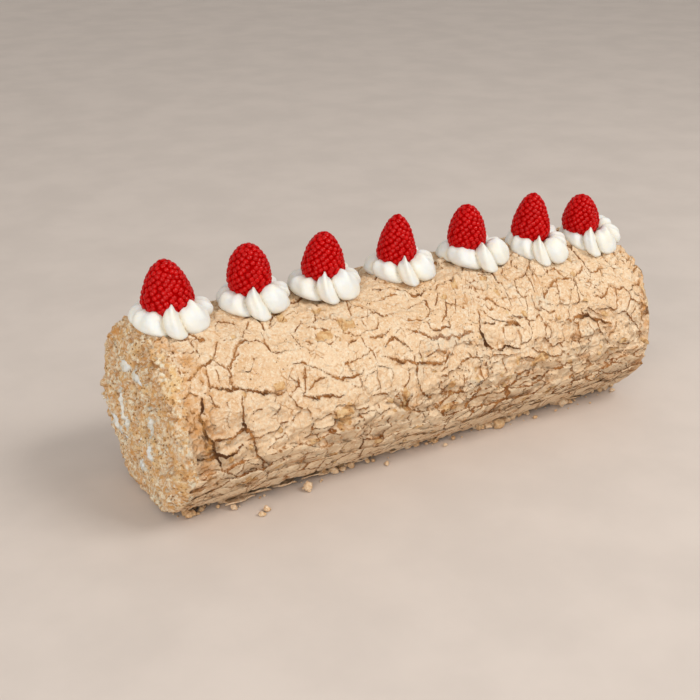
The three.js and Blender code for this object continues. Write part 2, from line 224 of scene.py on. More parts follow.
# A rosette's lobes: direction in degrees, share of the turn, reach, rise, and the crest from 1, sharp,
# to 4, flat.
LOBES = (
    (-151, 66, 0.98, 0.84, 3.2),
    (-102, 32, 1.08, 1.08, 1.15),
    (-56, 58, 1.03, 1.06, 2.1),
    (-2, 46, 1.0, 0.86, 1.8),
    (50, 54, 0.99, 0.94, 2.4),
    (98, 44, 0.98, 1.0, 1.5),
    (152, 56, 1.0, 0.84, 2.4),
)
ROSETTE_TURNS = (0, -4, -8, -2, 5, -14, -22)
ROSETTE_HEIGHT = 11

# Each raspberry, from the near end: how far down it is widest, how pointed it is and its lean in degrees.
BERRY_SHAPES = (
    (0.7, 0.5, -3),
    (0.61, 0.15, -1),
    (0.68, 0.35, 3),
    (0.71, 0.5, 2),
    (0.68, 0.2, -1),
    (0.71, 0.45, 2),
    (0.66, 0.25, -1),
)

CAMERA_PLACE = (-306.21, -472.25, 297.76)
CAMERA_PITCH = 24.136
CAMERA_YAW = 30.843
CAMERA_LENS = 60.5


def srgb(red, green, blue):
    """A colour given in 8-bit screen values, as Blender's linear numbers."""
    shares = (np.array([red, green, blue]) / 255) ** 2.2
    return tuple(float(share) for share in shares)


def chance(seed, *cells):
    """Repeatable numbers from 0 to 1, one for each whole-number cell."""
    mixed = np.full(np.shape(cells[0]), seed * 2654435761 % 2**32, np.uint32)
    for cell in cells:
        mixed = (mixed ^ np.asarray(cell, np.int64).astype(np.uint32)) * np.uint32(0x9E3779B1)
        mixed ^= mixed >> np.uint32(15)
        mixed = mixed * np.uint32(0x85EBCA77)
        mixed ^= mixed >> np.uint32(13)
    return mixed / 2**32


def noise(points, size, seed):
    """Smooth noise from -1 to 1 at points, with lumps of about that size."""
    grid = points / size
    corner = np.floor(grid).astype(np.int64)
    part = grid - corner
    fade = part**3 * (part * (part * 6 - 15) + 10)
    total = np.zeros(points.shape[:-1])
    for x in (0, 1):
        for y in (0, 1):
            for z in (0, 1):
                weight = np.abs((1 - x) - fade[..., 0]) * np.abs((1 - y) - fade[..., 1])
                weight = weight * np.abs((1 - z) - fade[..., 2])
                total += weight * chance(seed, corner[..., 0] + x, corner[..., 1] + y, corner[..., 2] + z)
    return 2 * total - 1


def layered_noise(points, size, seed, layers):
    """Noise with finer and weaker layers on top."""
    return sum(noise(points, size / 2**k, seed + k) / 2**k for k in range(layers))


def step(low, high, value):
    """A smooth step from 0 at low to 1 at high."""
    share = np.clip((value - low) / (high - low), 0, 1)
    return share * share * (3 - 2 * share)


def section_outline():
    """The roll's section from the top line round by the -Y side: distances round, points and normals."""
    full_height = ROLL_HEIGHT / (1 - FOOT_SHARE)
    angle = np.linspace(0, 2 * math.pi, 5761)
    across, up = np.sin(angle), np.cos(angle)
    y = -ROLL_WIDTH / 2 * np.sign(across) * np.abs(across) ** (2 / SECTION_POWER)
    z = full_height / 2 * (1 + np.sign(up) * np.abs(up) ** (2 / SECTION_POWER)) - FOOT_SHARE * full_height
    z = np.maximum(z, 0)
    distance = np.r_[0, np.cumsum(np.hypot(np.diff(y), np.diff(z)))]
    even = np.linspace(0, distance[-1], 2401)
    y, z = np.interp(even, distance, y), np.interp(even, distance, z)
    reach = 6
    along_y = np.roll(y[:-1], -reach) - np.roll(y[:-1], reach)
    along_z = np.roll(z[:-1], -reach) - np.roll(z[:-1], reach)
    size = np.hypot(along_y, along_z)
    normal_y, normal_z = -along_z / size, -along_y / size
    return even, y, z, np.r_[normal_y, normal_y[0]], np.r_[normal_z, normal_z[0]]


OUTLINE = section_outline()
PERIMETER = OUTLINE[0][-1]


def section_at(around):
    """Points and outward normals of the section at distances round it."""
    even, y, z, normal_y, normal_z = OUTLINE
    place = np.mod(around, PERIMETER)
    return [np.interp(place, even, values) for values in (y, z, normal_y, normal_z)]


def top_height(y):
    """Height of the smooth roll's top at a distance across it."""
    full_height = ROLL_HEIGHT / (1 - FOOT_SHARE)
    share = (1 - np.abs(2 * y / ROLL_WIDTH) ** SECTION_POWER) ** (1 / SECTION_POWER)
    return full_height / 2 * (1 + share) - FOOT_SHARE * full_height


def around_steps(grain):
    """Distances round the section: finest on the -Y side and the top, coarse on the foot."""
    even, _, z, _, _ = OUTLINE
    foot = even[z < ON_FLOOR]
    back_top = PERIMETER - 25
    steps = [
        np.linspace(0, foot[0], round(foot[0] / grain), endpoint=False),
        np.linspace(foot[0], foot[-1], 20, endpoint=False),
        np.linspace(foot[-1], back_top, round((back_top - foot[-1]) / (1.3 * grain)), endpoint=False),
        np.linspace(back_top, PERIMETER, round(25 / grain), endpoint=False),
    ]
    return np.concatenate(steps)


def cells_round(along, around, size, seed, stretch=1.0):
    """Cracked plates: each place's plate, the distance to its nearest border and the plate beyond that."""
    count = round(PERIMETER / size)
    scale = PERIMETER / count
    grid_along, grid_around = along / (scale * stretch), around / scale
    cell_along, cell_around = np.floor(grid_along).astype(np.int64), np.floor(grid_around).astype(np.int64)

    def seed_of(step_along, step_around):
        first, second = cell_along + step_along, cell_around + step_around
        wrapped = np.mod(second, count)
        place_along = first + 0.5 + 0.86 * (chance(seed, first, wrapped) - 0.5)
        place_around = second + 0.5 + 0.86 * (chance(seed + 1, first, wrapped) - 0.5)
        return place_along, place_around, first * 4096 + wrapped

    steps = [(i, j) for i in (-2, -1, 0, 1, 2) for j in (-2, -1, 0, 1, 2)]
    nearest = np.full(along.shape, FAR_AWAY)
    home_along, home_around = np.zeros(along.shape), np.zeros(along.shape)
    home = np.zeros(along.shape, np.int64)
    for i, j in steps:
        if max(abs(i), abs(j)) < 2:
            place_along, place_around, number = seed_of(i, j)
            distance = (place_along - grid_along) ** 2 + (place_around - grid_around) ** 2
            closer = distance < nearest
            nearest = np.where(closer, distance, nearest)
            home_along = np.where(closer, place_along, home_along)
            home_around = np.where(closer, place_around, home_around)
            home = np.where(closer, number, home)
    border = np.full(along.shape, FAR_AWAY)
    beyond = np.zeros(along.shape, np.int64)
    for i, j in steps:
        place_along, place_around, number = seed_of(i, j)
        gap_along, gap_around = place_along - home_along, place_around - home_around
        gap = np.hypot(gap_along, gap_around)
        middle = (place_along + home_along) / 2, (place_around + home_around) / 2
        distance = (middle[0] - grid_along) * gap_along + (middle[1] - grid_around) * gap_around
        distance = np.where(gap > 1e-6, distance / np.maximum(gap, 1e-6), FAR_AWAY)
        closer = distance < border
        border = np.where(closer, distance, border)
        beyond = np.where(closer, number, beyond)
    offset = (grid_along - home_along) * scale * stretch, (grid_around - home_around) * scale
    return home, border * scale, beyond, offset


def plate_layer(along, around, size, seed, lift, tilt, openness, shut, stretch=1.0):
    """One size of plates: how far each place is lifted, and the distance and width of the crack beside it."""
    home, border, beyond, offset = cells_round(along, around, size, seed, stretch)

    def own(part):
        return 2 * chance(seed + part, home) - 1

    strength = chance(seed + 9, np.minimum(home, beyond), np.maximum(home, beyond))
    stepped = strength > 0.45 * shut
    width = 0.14 + (strength - shut) / (1 - shut) * openness
    width = np.where(strength > shut, width, np.where(stepped, -0.1, -5))
    here = lift * own(3) + tilt * (own(4) * offset[0] + own(5) * offset[1])
    settle = step(0, np.where(stepped, 0.9, 4.0), border)
    curl = stepped * (0.2 + 0.35 * np.clip(width, 0, 1)) * np.exp(-(((border - 1.1) / 0.8) ** 2))
    return here * settle + curl, border, width


def route_distance(along, around, route):
    """Distance to a crack's route, more than 0 below it, and how far from its ends that place lies."""
    nearest = np.full(along.shape, FAR_AWAY)
    below = np.ones(along.shape)
    place = np.zeros(along.shape)
    length = sum(math.dist(*pair) for pair in zip(route, route[1:]))
    start = 0
    for (a0, b0), (a1, b1) in zip(route, route[1:]):
        run = math.dist((a0, b0), (a1, b1))
        share = np.clip(((along - a0) * (a1 - a0) + (around - b0) * (b1 - b0)) / run**2, 0, 1)
        distance = np.hypot(along - a0 - share * (a1 - a0), around - b0 - share * (b1 - b0))
        closer = distance < nearest
        below = np.where(closer, (a1 - a0) * (around - b0) - (b1 - b0) * (along - a0), below)
        place = np.where(closer, start + share * run, place)
        nearest = np.where(closer, distance, nearest)
        start += run
    return np.where(below > 0, nearest, -nearest), np.minimum(place, length - place)


def spots(along, around, places, softness=0.16):
    """How strongly each place lies in one of the ragged spots, and how far it sinks there."""
    inside, sunk = np.zeros(along.shape), np.zeros(along.shape)
    for place_along, place_around, half_length, half_width, sink in places:
        share_along, share_around = (along - place_along) / half_length, (around - place_around) / half_width
        here = step(1 + softness, 1 - softness, np.sqrt(np.hypot(share_along**2, share_around**2)))
        inside = np.maximum(inside, here)
        sunk = np.maximum(sunk, here * sink)
    return inside, sunk


def sponge(points):
    """The relief of torn sponge, and how deep its pores are."""
    grit = 1.15 * layered_noise(points, 5, 24, 2) + 0.95 * noise(points, 2.1, 26)
    grit += 0.55 * noise(points, 1.2, 27)
    pore = step(0.36, 0.62, noise(points, 1.9, 30)) * (0.55 + 0.45 * noise(points, 8, 31))
    pore = np.maximum(pore, step(0.52, 0.72, noise(points, 3.6, 32)))
    return grit - 2.1 * pore, pore


def crust_cracks(along, around, points, end_distance, is_far):
    """The crust's plates at distances from the near end and round the roll, their cracks and the zones."""
    ragged = 0.42 * noise(points, 1.7, 9) + 0.2 * noise(points, 0.95, 44)
    along_close = along + 0.8 * noise(points, 6, 2) + 0.45 * noise(points, 2.4, 3) + ragged
    around_close = around + 0.8 * noise(points, 6, 5) + 0.45 * noise(points, 2.4, 6) - ragged
    along_bent = along_close + 2.3 * noise(points, 17, 1)
    around_bent = around_close + 2.3 * noise(points, 17, 4)
    around_front = np.where(around_close > PERIMETER * 0.8, around_close - PERIMETER, around_close)
    down = np.minimum(np.mod(around, PERIMETER), PERIMETER - np.mod(around, PERIMETER))
    far = step(120, 215, along + 14 * noise(points, 30, 7))
    low = step(62, 82, down + 5 * noise(points, 20, 8))
    flank = step(14, 34, down) * step(112, 96, down)
    rim_reach = np.where(is_far, 6.0, 10 + 9 * flank) + 3.5 * noise(points, 11, 22)
    near_rim = step(rim_reach + 3, rim_reach - 3, end_distance)
    calm = noise(points, 26, 13)
    crumbled = np.clip(0.95 * far + 0.5 * step(0.2, 0.5, calm) + near_rim, 0, 1)

    lift = 1.0 * noise(points, 28, 11) + 0.55 * noise(points, 11, 12)
    lift += (0.25 + 0.5 * np.maximum(crumbled, low)) * noise(points, 5.5, 39)
    gap, width, centre = np.full(along.shape, 9.0), np.zeros(along.shape), np.full(along.shape, 9.0)
    modulate = noise(points, 5, 10)

    def open_crack(distance, here, presence=1.0):
        nonlocal gap, width, centre
        edge = distance - here / 2 - 0.1 * modulate + 3 * (1 - presence)
        nearest = edge < gap
        gap = np.where(nearest, edge, gap)
        width = np.where(nearest, np.maximum(here, 0), width)
        centre = np.where(nearest & (edge < 0.7), distance, centre)

    drawn = np.full(along.shape, FAR_AWAY)
    for route, route_width, rise in MAIN_CRACKS:
        distance, from_end = route_distance(along_close, around_front, route)
        here = 0.9 * route_width * np.clip(0.6 + from_end / 12, 0, 1) * (1 + 0.5 * noise(points, 4, 14))
        away = np.abs(distance)
        drawn = np.minimum(drawn, away)
        lift += 0.3 * route_width * np.exp(-(((away - here / 2 - 1.0) / 1.0) ** 2))
        lift += rise * step(0.35, -0.45, distance) * step(11, 1, away) * np.clip(from_end / 5, 0, 1)
        open_crack(away, here)

    big_lift, border, here = plate_layer(along_bent, around_bent, 19, 20, 0.8, 0.06, 0.55, 0.22)
    open_crack(border, here, step(3.5, 7, drawn))
    small_lift, border, here = plate_layer(along_bent, around_bent, 9.5, 40, 0.5, 0.08, 0.32, 0.4)
    open_crack(border, here, step(-0.7, -0.3, calm + crumbled) * step(0.5, 2, drawn))
    fine_lift, border, here = plate_layer(along_bent, around_bent, 4.6, 60, 0.55, 0.18, 0.14, 0.66)
    open_crack(border, here - 0.1, crumbled)
    lift += big_lift + small_lift * (0.6 + 1.0 * crumbled) + (0.15 + 1.05 * crumbled) * fine_lift

    strip, border, _, offset = cells_round(along_bent, around_bent, 7.8, 80, 2.6)
    side = np.where(np.mod(around, PERIMETER) < PERIMETER / 2, 1, -1)
    ledge = side * offset[1] * (0.3 + 0.36 * chance(85, strip))
    lift += low * (ledge * step(0, 0.7, border) - 0.4 * step(0.7, 0.1, border))
    open_crack(border, 0.08 + 0.65 * chance(86, strip) ** 2, 0.97 * low)

    past_seam = around + 4.5 * noise(points, 36, 15) + 1.4 * noise(points, 7, 16) + ragged
    past_seam -= PERIMETER * SEAM_SHARE
    lift += 1.1 * step(9, 2, past_seam) * step(-0.4, 0.3, past_seam)
    open_crack(np.abs(past_seam), 0.5 + 0.5 * noise(points, 12, 40))
    hem = step(93, 99, down) * step(113, 107, down)
    torn = step(-0.05, 0.2, noise(points * (0.8, 1, 1), 5.5, 45))
    lift += hem * (2.6 * torn - 0.9 + 0.9 * noise(points, 4, 46))
    foot = OUTLINE[0][OUTLINE[2] < ON_FLOOR][0]
    lift -= 2.2 * step(foot - 9, foot - 6, down) * step(-0.6, 0.2, noise(points * (0.5, 1, 1), 9, 47))
    zones = {"along": along_close, "around": around_front, "low": low, "flank": flank}
    zones.update({"rim": near_rim, "crumbled": crumbled})
    return lift, gap, width, centre, zones


def crust_surface(along, around, points, end_distance, is_far):
    """The crust's lift and its marks at distances from the near end and round the roll."""
    lift, gap, width, _, zones = crust_cracks(along, around, points, end_distance, is_far)
    low, crumbled = zones["low"], zones["crumbled"]
    bare, bare_sunk = spots(zones["along"], zones["around"], BARE_SPOTS)
    more_bare = step(0.86, 0.9, noise(points, 5, 33) + 0.1 * noise(points, 1.5, 41) + 0.12 * crumbled)
    more_bare = np.maximum(more_bare, 0.8 * low * step(0.76, 0.82, noise(points, 5, 17)))
    bare_sunk = np.maximum(bare_sunk, 1.1 * more_bare)
    bare = np.maximum(bare, more_bare)
    smear, smear_sunk = spots(zones["along"], zones["around"], SMEARS, 0.3)

    layers = 2.4 * (layered_noise(points, 13, 34, 3) + 1.2)
    part = layers - np.floor(layers)
    terraces = 0.42 * (np.floor(layers) + step(0.82, 1.0, part)) * step(-0.3, 0.3, noise(points, 23, 37))
    wrinkles = 0.3 * layered_noise(points, 3.6, 18, 2) + 0.17 * noise(points, 1.25, 19)
    wrinkles += 0.55 * np.abs(noise(points, 5.2, 48)) + 0.34 * np.abs(noise(points, 2.6, 49)) - 0.25
    broken = np.exp(-((np.maximum(gap, 0) / 1.4) ** 2)) * noise(points, 1.7, 38)
    lift += terraces - 0.8 + wrinkles * (1 + 0.7 * crumbled) + 0.4 * broken
    lumps = step(0.05, 0.5, noise(points, 5.5, 50)) * step(9, 3, end_distance) * zones["flank"]
    lift += np.where(is_far, 2.8, 1.9) * lumps + (0.5 + 0.6 * zones["low"]) * low * noise(points, 3.4, 51)
    depth = np.clip(0.5 + 0.9 * width, 0.5, 2.6)
    lift -= depth * step(0.45, -0.1, gap)
    lift -= bare_sunk + 0.35 * bare * noise(points, 1.4, 21) + smear_sunk

    reach = np.where(is_far, 3.0, 3.5 + 3.5 * zones["flank"])
    reach = reach + 3.0 * noise(points, 9, 23) + 2.2 * noise(points, 2.8, 25)
    crumb = step(reach + 0.7, reach - 0.7, end_distance)
    grit, pore = sponge(points)
    lift = lift * (1 - crumb) + crumb * (grit - 0.6)
    marks = {
        "gap": np.clip(gap, -1, 4) + 3 * crumb,
        # depth: how wide a crack is; wide cracks get a darker bottom, browner crumb with painted shade.
        "depth": step(0.4, 1.3, width),
        # curl: a band beside the cracks where a painted highlight lies on the curled plate edges.
        "curl": np.exp(-(((gap - 0.75) / 0.4) ** 2)) * step(-0.1, 0.4, noise(points, 5, 42)),
        "layers": layers,
        "bare": bare * (1 - crumb),
        "crumb": crumb,
        "rim": zones["rim"],
        "toast": 0.6 * zones["rim"] * step(-0.2, 0.5, noise(points, 6, 97)),
        "residue": np.zeros(lift.shape),
        "smear": smear,
        # pore: the sponge's pores, which the shader paints darker as painted shade.
        "pore": crumb * pore,
        # low: the lower flanks, which the shader paints paler as painted light against their shade.
        "low": low,
        "shade": step(-1.1, 1.1, noise(points, 20, 28) + 0.6 * noise(points, 6, 29)),
    }
    return lift, marks


def onto_cracks(rows, turns, centre):
    """The places of a grid, moved onto the middle line of a crack where they lie close beside it."""
    slopes, spans = [], []
    for axis, places, beyond in ((0, rows, 2 * rows[-1] - rows[-2]), (1, turns, turns[0] + PERIMETER)):
        after = np.diff(places, append=beyond).reshape((-1, 1) if axis == 0 else (1, -1))
        ahead = (np.roll(centre, -1, axis) - centre) / after
        behind = np.roll(ahead, 1, axis)
        slopes.append(np.where(np.abs(ahead) > np.abs(behind), ahead, behind))
        spans.append(after)
    steep = np.hypot(*slopes)
    across = [np.clip(slope / np.maximum(steep, 0.6), -1, 1) for slope in slopes]
    reach = 0.52 * np.maximum(spans[0] * np.abs(across[0]), spans[1] * np.abs(across[1]))
    close = (centre < reach) & (spans[1] < 1) & (steep > 0.4) & (steep < 1.8)
    close[[0, -1]] = False
    along, turn = np.meshgrid(rows, turns, indexing="ij")
    return along - np.where(close, centre * across[0], 0), turn - np.where(close, centre * across[1], 0)


def face_share(y, z):
    """How far out a point of an end face lies: 0 in the middle and 1 at the roll's outline."""
    _, outline_y, outline_z, _, _ = OUTLINE
    bearing = np.arctan2(outline_z - FACE_MIDDLE[1], outline_y - FACE_MIDDLE[0])
    order = np.argsort(bearing)
    reach = np.hypot(outline_y - FACE_MIDDLE[0], outline_z - FACE_MIDDLE[1])[order]
    here = np.arctan2(z - FACE_MIDDLE[1], y - FACE_MIDDLE[0])
    limit = np.interp(here, bearing[order], reach, period=2 * math.pi)
    return np.hypot(y - FACE_MIDDLE[0], z - FACE_MIDDLE[1]) / limit


def face_bulge(points, share):
    """How far an end face swells outward."""
    return 1.3 * np.clip(4 * share * (1 - share), 0, 1) + 0.9 * noise(points, 17, 92)


def face_marks(sign, points, share):
    """Extra relief of an end face, how browned it is and where its hollow lies."""
    turns = np.linspace(0.02, BAND_TURNS, 170)
    shown = band_shown(turns, SHOWING_NEAR if sign < 0 else SHOWING_FAR)
    flat = points[..., 1:]
    nearest = np.full(flat.shape[:-1], FAR_AWAY)
    residue = np.zeros(flat.shape[:-1])
    for place, open_here in zip(band_line(turns), shown):
        distance = np.hypot(flat[..., 0] - place[0], flat[..., 1] - place[1])
        nearest = np.minimum(nearest, distance)
        residue = np.maximum(residue, open_here * step(4.2, 1.2, distance))
    residue = step(0.4, 0.62, residue + 0.4 * noise(points, 2.4, 98) + 0.35 * noise(points, 1.0, 99))
    on_face = step(0.97, 0.88, share)
    between = step(3.6, 2.4, nearest + 0.9 * noise(points, 3, 93)) * on_face
    relief = -0.75 * between
    toast = step(-0.1, 0.5, noise(points, 9, 91)) * step(0.62, 0.9, share)
    hollow = np.zeros(share.shape)
    if sign < 0:
        y, z = flat[..., 0], flat[..., 1]
        hollow = step(4.4, 2.0, np.hypot((y + 10) * 1.2, (z - 39) * 0.8) + noise(points, 3, 94))
        slit = step(1.7, 0.7, np.abs(y + 0.8 * noise(points, 5, 95)))
        hollow = np.maximum(hollow, 0.5 * slit * step(8, 5, np.abs(z - 49)))
        fold = np.exp(-(((share - 0.74 - 0.06 * noise(points, 8, 96)) / 0.04) ** 2))
        fold = fold * step(-0.5, 0, noise(points, 6, 97)) * step(-4, -12, y) * step(24, 34, z)
        hollow = np.maximum(hollow, 0.8 * fold)
    return relief - 6.0 * hollow, toast, hollow, residue


def mesh_piece(name, points, faces, material, marks, replaces=()):
    """A smooth mesh of points in millimetres and faces with equal numbers of corners, riding on the cake."""
    mesh = bpy.data.meshes.new(name)
    corners = faces.shape[1]
    mesh.vertices.add(len(points))
    mesh.vertices.foreach_set("co", (points * MM).astype(np.float32).ravel())
    mesh.loops.add(faces.size)
    mesh.loops.foreach_set("vertex_index", faces.astype(np.int32).ravel())
    mesh.polygons.add(len(faces))
    mesh.polygons.foreach_set("loop_start", np.arange(0, faces.size, corners, dtype=np.int32))
    mesh.update(calc_edges=True)
    mesh.shade_smooth()
    for mark, values in marks.items():
        layer = mesh.attributes.new(mark, "FLOAT", "POINT")
        layer.data.foreach_set("value", np.asarray(values, np.float32).ravel())
    if mesh.validate():
        raise RuntimeError(f"{name} has faces that are not sound")
    piece = bpy.data.objects.new(name, mesh)
    bpy.context.collection.objects.link(piece)
    mesh.materials.append(material)
    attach(piece, "root")
    if replaces:
        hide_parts(*replaces)


def grid_faces(rows, columns):
    """Faces of a grid of points, rows first, whose columns close on themselves."""
    row, column = np.meshgrid(np.arange(rows - 1) * columns, np.arange(columns), indexing="ij")
    after = (column + 1) % columns
    quads = [row + column, row + columns + column, row + columns + after, row + after]
    return np.stack(quads, -1).reshape(-1, 4)


def fan_faces(heart, start, count, under=False):
    """Faces between a middle point and a closed ring of points, two steps of the ring at a time."""
    k = np.arange(0, count, 2)
    ends = [start + k, start + k + 1, start + (k + 2) % count]
    return np.stack([np.full(len(k), heart)] + (ends[::-1] if under else ends), -1)


def disc_faces(rings, spokes, heart=0, under=False):
    """Faces of a round patch: its middle point, then rings of points with as many spokes."""
    bands = heart + 1 + grid_faces(rings, spokes)
    return np.concatenate([fan_faces(heart, heart + 1, spokes, under), bands[:, ::-1] if under else bands])


def cap(bends, spokes):
    """Points and faces of the top of a unit ball, with a ring of points at each bend from it."""
    spoke = spokes_round(spokes)
    flat = np.outer(np.sin(bends), np.cos(spoke)), np.outer(np.sin(bends), np.sin(spoke))
    rings = np.stack([*flat, np.outer(np.cos(bends), np.ones(spokes))], -1)
    return np.concatenate([[[0, 0, 1]], rings.reshape(-1, 3)]), disc_faces(len(bends), spokes)


def spokes_round(count):
    """Even directions all the way round."""
    return np.arange(count) * 2 * math.pi / count


def turned(x, y, angle):
    """A place, turned round the origin."""
    return x * math.cos(angle) - y * math.sin(angle), x * math.sin(angle) + y * math.cos(angle)


def outward(points, faces, middle, reach=0):
    """The faces, turned so that those beyond a reach from the middle look away from it."""
    a, b, c = (points[faces[:, k]] for k in range(3))
    away = a - np.asarray(middle)
    facing = np.einsum("ij,ij->i", np.cross(b - a, c - a), away)
    facing = facing[np.hypot(away[:, 0], away[:, 1]) >= reach]
    return faces if np.median(facing) > 0 else faces[:, ::-1]


def crust_piece(name, places, marks, material):
    """A piece of the crust from a grid of places that closes round the roll."""
    points = np.stack(places, -1).reshape(-1, 3)
    points[:, 2] = np.maximum(points[:, 2], 0)
    faces = outward(points, grid_faces(*places[0].shape), (ROLL_MIDDLE, 0, ROLL_HEIGHT / 2))
    mesh_piece(name, points, faces, material, marks, ["roulade"])


def crust_strip(name, lengths, grain, material):
    """A stretch of the crust between the end pieces."""
    around = around_steps(grain)

    def placed(along, turn):
        y, z, normal_y, normal_z = section_at(turn)
        base = np.stack([ROLL_MIDDLE - ROLL_LENGTH / 2 + along, y, z], -1)
        end_distance = np.minimum(along, ROLL_LENGTH - along)
        return base, normal_y, normal_z, (along, turn, base, end_distance, along > ROLL_LENGTH / 2)

    *_, here = placed(*np.meshgrid(lengths, around, indexing="ij"))
    base, normal_y, normal_z, here = placed(*onto_cracks(lengths, around, crust_cracks(*here)[3]))
    lift, marks = crust_surface(*here)
    lift = np.where(base[..., 2] < ON_FLOOR, 0, lift)
    places = base[..., 0], base[..., 1] + normal_y * lift, base[..., 2] + normal_z * lift
    crust_piece(name, places, marks, material)


def crust_end(name, sign, grain, material):
    """The last of the crust at one end, its worn edge and the crumbly face."""
    near_end = sign < 0
    side_length = END_STRIP - RIM_RADIUS
    rim_length = RIM_RADIUS * math.pi / 2
    total = side_length + rim_length + ROLL_WIDTH / 2 - RIM_RADIUS
    rows = np.linspace(0, total, round(total / (1.02 * grain)))
    around = around_steps(grain)

    def placed(row, turn):
        bend = np.clip((row - side_length) / RIM_RADIUS, 0, math.pi / 2)
        inward = np.maximum(row - side_length - rim_length, 0)
        share = 1 - (RIM_RADIUS * (1 - np.cos(bend)) + inward) / (ROLL_WIDTH / 2)
        from_strip = np.minimum(row, side_length) + RIM_RADIUS * np.sin(bend)
        y, z, normal_y, normal_z = section_at(turn)
        x = ROLL_MIDDLE + sign * (ROLL_LENGTH / 2 - END_STRIP + from_strip)
        y = FACE_MIDDLE[0] + (y - FACE_MIDDLE[0]) * share
        z = FACE_MIDDLE[1] + (z - FACE_MIDDLE[1]) * share
        base = np.stack([x, y, z], -1)
        to_rim = END_STRIP - row
        along = to_rim if near_end else ROLL_LENGTH - to_rim
        here = along, turn, base, to_rim, np.full(along.shape, not near_end)
        return base, normal_y, normal_z, here, share, bend

    *_, here, _, _ = placed(*np.meshgrid(rows, around, indexing="ij"))
    base, normal_y, normal_z, here, share, bend = placed(*onto_cracks(rows, around, crust_cracks(*here)[3]))
    x, y, z = base[..., 0], base[..., 1], base[..., 2]
    lift, marks = crust_surface(*here)
    relief, toast, hollow, residue = face_marks(sign, base, share)
    face = step(0.6, 1.4, bend)
    lift = lift + face * (relief + face_bulge(base, share) + 0.4)
    if near_end:
        crumbled = step(25, 38, y) * step(20, 30, z) * step(58, 48, z)
    else:
        crumbled = step(-25, -40, y) * step(62, 45, z)
    lift = lift + 2.6 * step(0.1, 0.5, noise(base, 4.5, 96)) * crumbled * step(0.2, 0.8, bend)
    lift = np.where((section_at(here[1])[1] < ON_FLOOR) & (bend < 0.01), 0, lift)
    marks["toast"] = np.maximum(toast * face, marks["toast"])
    # The near face's hollow gets painted shade as well as its depth.
    marks["pore"] = np.maximum(marks["pore"], hollow * face)
    marks["residue"] = residue * face
    x = x + sign * np.sin(bend) * lift
    y = y + np.cos(bend) * normal_y * lift
    z = z + np.cos(bend) * normal_z * lift
    crust_piece(name, (x, y, z), marks, material)


def band_line(turns):
    """Points of the cream band's middle line in the section, as in the solid."""
    wind_in = step(WIND_IN_FROM, BAND_TURNS, turns)
    ring = RING_RADIUS + (CORE_RADIUS - RING_RADIUS) * wind_in
    radius = ring + (SEAM_REACH - RING_RADIUS) * np.exp(-turns / DIVE_TURN)
    angle = 2 * math.pi * turns
    across = BAND_MIDDLE[0] + radius * BAND_FLATTEN * np.cos(angle)
    return np.stack([across, BAND_MIDDLE[1] - radius * np.sin(angle)], -1)


def band_shown(turns, showing):
    """How far the band comes out between the crumbs at each of its turns."""
    shown = np.zeros(len(turns))
    for first, last in showing:
        inside = step(first - 0.02, first + 0.01, turns) * step(last + 0.02, last - 0.01, turns)
        shown = np.maximum(shown, inside)
    return shown


def at_length(x, flat):
    """Points of the section at a place along the roll."""
    return np.stack([np.broadcast_to(x, flat.shape[:-1]), flat[..., 0], flat[..., 1]], -1)


def filling_piece(material):
    """The cream band, with uneven ends that come out between the crumbs where it shows."""
    turns = np.linspace(0.015, BAND_TURNS, 700)
    line = band_line(turns)
    along = np.gradient(line, axis=0)
    along /= np.linalg.norm(along, axis=1)[:, None]
    across = np.stack([-along[:, 1], along[:, 0]], -1)
    shares = np.linspace(-1, 1, 9)
    ends = []
    for sign, showing in ((-1, SHOWING_NEAR), (1, SHOWING_FAR)):
        shown = band_shown(turns, showing)
        spread = at_length(5.0 * sign, line)
        half = 1.3 + 0.7 * shown + 0.8 * noise(spread, 6, 101) + 0.9 * noise(spread, 2.2, 102)
        half = np.maximum(half, 0.5)
        waver = (0.9 * noise(spread, 5, 105) + 0.4 * noise(spread, 1.8, 106))[:, None]
        flat = line[:, None, :] + across[:, None, :] * (half[:, None] * shares[None, :] + waver)[..., None]
        place = at_length(sign * 40.0, flat)
        surface = at_length(ROLL_MIDDLE + sign * ROLL_LENGTH / 2, flat)
        share = face_share(flat[..., 0], flat[..., 1])
        out = face_bulge(surface, share) - 3.0 + 2.4 * shown[:, None] + 0.5 * (1 - shares**2)
        out += 1.0 * noise(place, 3.2, 103) + 1.0 * noise(place, 1.4, 104)
        out -= 5 * step(0.9, 1.0, share)
        tip = at_length(ROLL_MIDDLE + sign * (ROLL_LENGTH / 2 + np.minimum(out, 2.6)), flat)
        ends.append((at_length(ROLL_MIDDLE + sign * (ROLL_LENGTH / 2 - 6), flat), tip))
    (near_root, near_tip), (far_root, far_tip) = ends
    last = len(shares) - 1
    sheets = [near_tip[:, k] for k in range(last + 1)]
    sheets += [near_root[:, last], far_root[:, last]]
    sheets += [far_tip[:, k] for k in range(last, -1, -1)]
    sheets += [far_root[:, 0], near_root[:, 0]]
    count = len(sheets)
    near = list(range(last + 1))
    far = list(range(count - 3, count - 4 - last, -1))
    caps = [[near[k], near[k + 1], far[k + 1], far[k]] for k in range(last)]
    caps.append([near[-1], near[-1] + 1, near[-1] + 2, far[-1]])
    caps.append([far[0], count - 2, count - 1, near[0]])
    close_start = np.array(caps)
    close_end = close_start[:, ::-1] + (len(turns) - 1) * count
    points = np.stack(sheets, 1).reshape(-1, 3)
    faces = np.concatenate([grid_faces(len(turns), count), close_start, close_end])[:, ::-1]
    marks = {"valley": np.full(len(points), 0.2)}
    mesh_piece("cream_band", points, faces, material, marks, ["cream_filling"])


def solid_box(node):
    """A solid's lowest and highest corner, its middle and its mean radius."""
    low, high = (np.array(corner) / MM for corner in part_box(node))
    return low, high, (low + high) / 2, (high[0] - low[0] + high[1] - low[1]) / 4


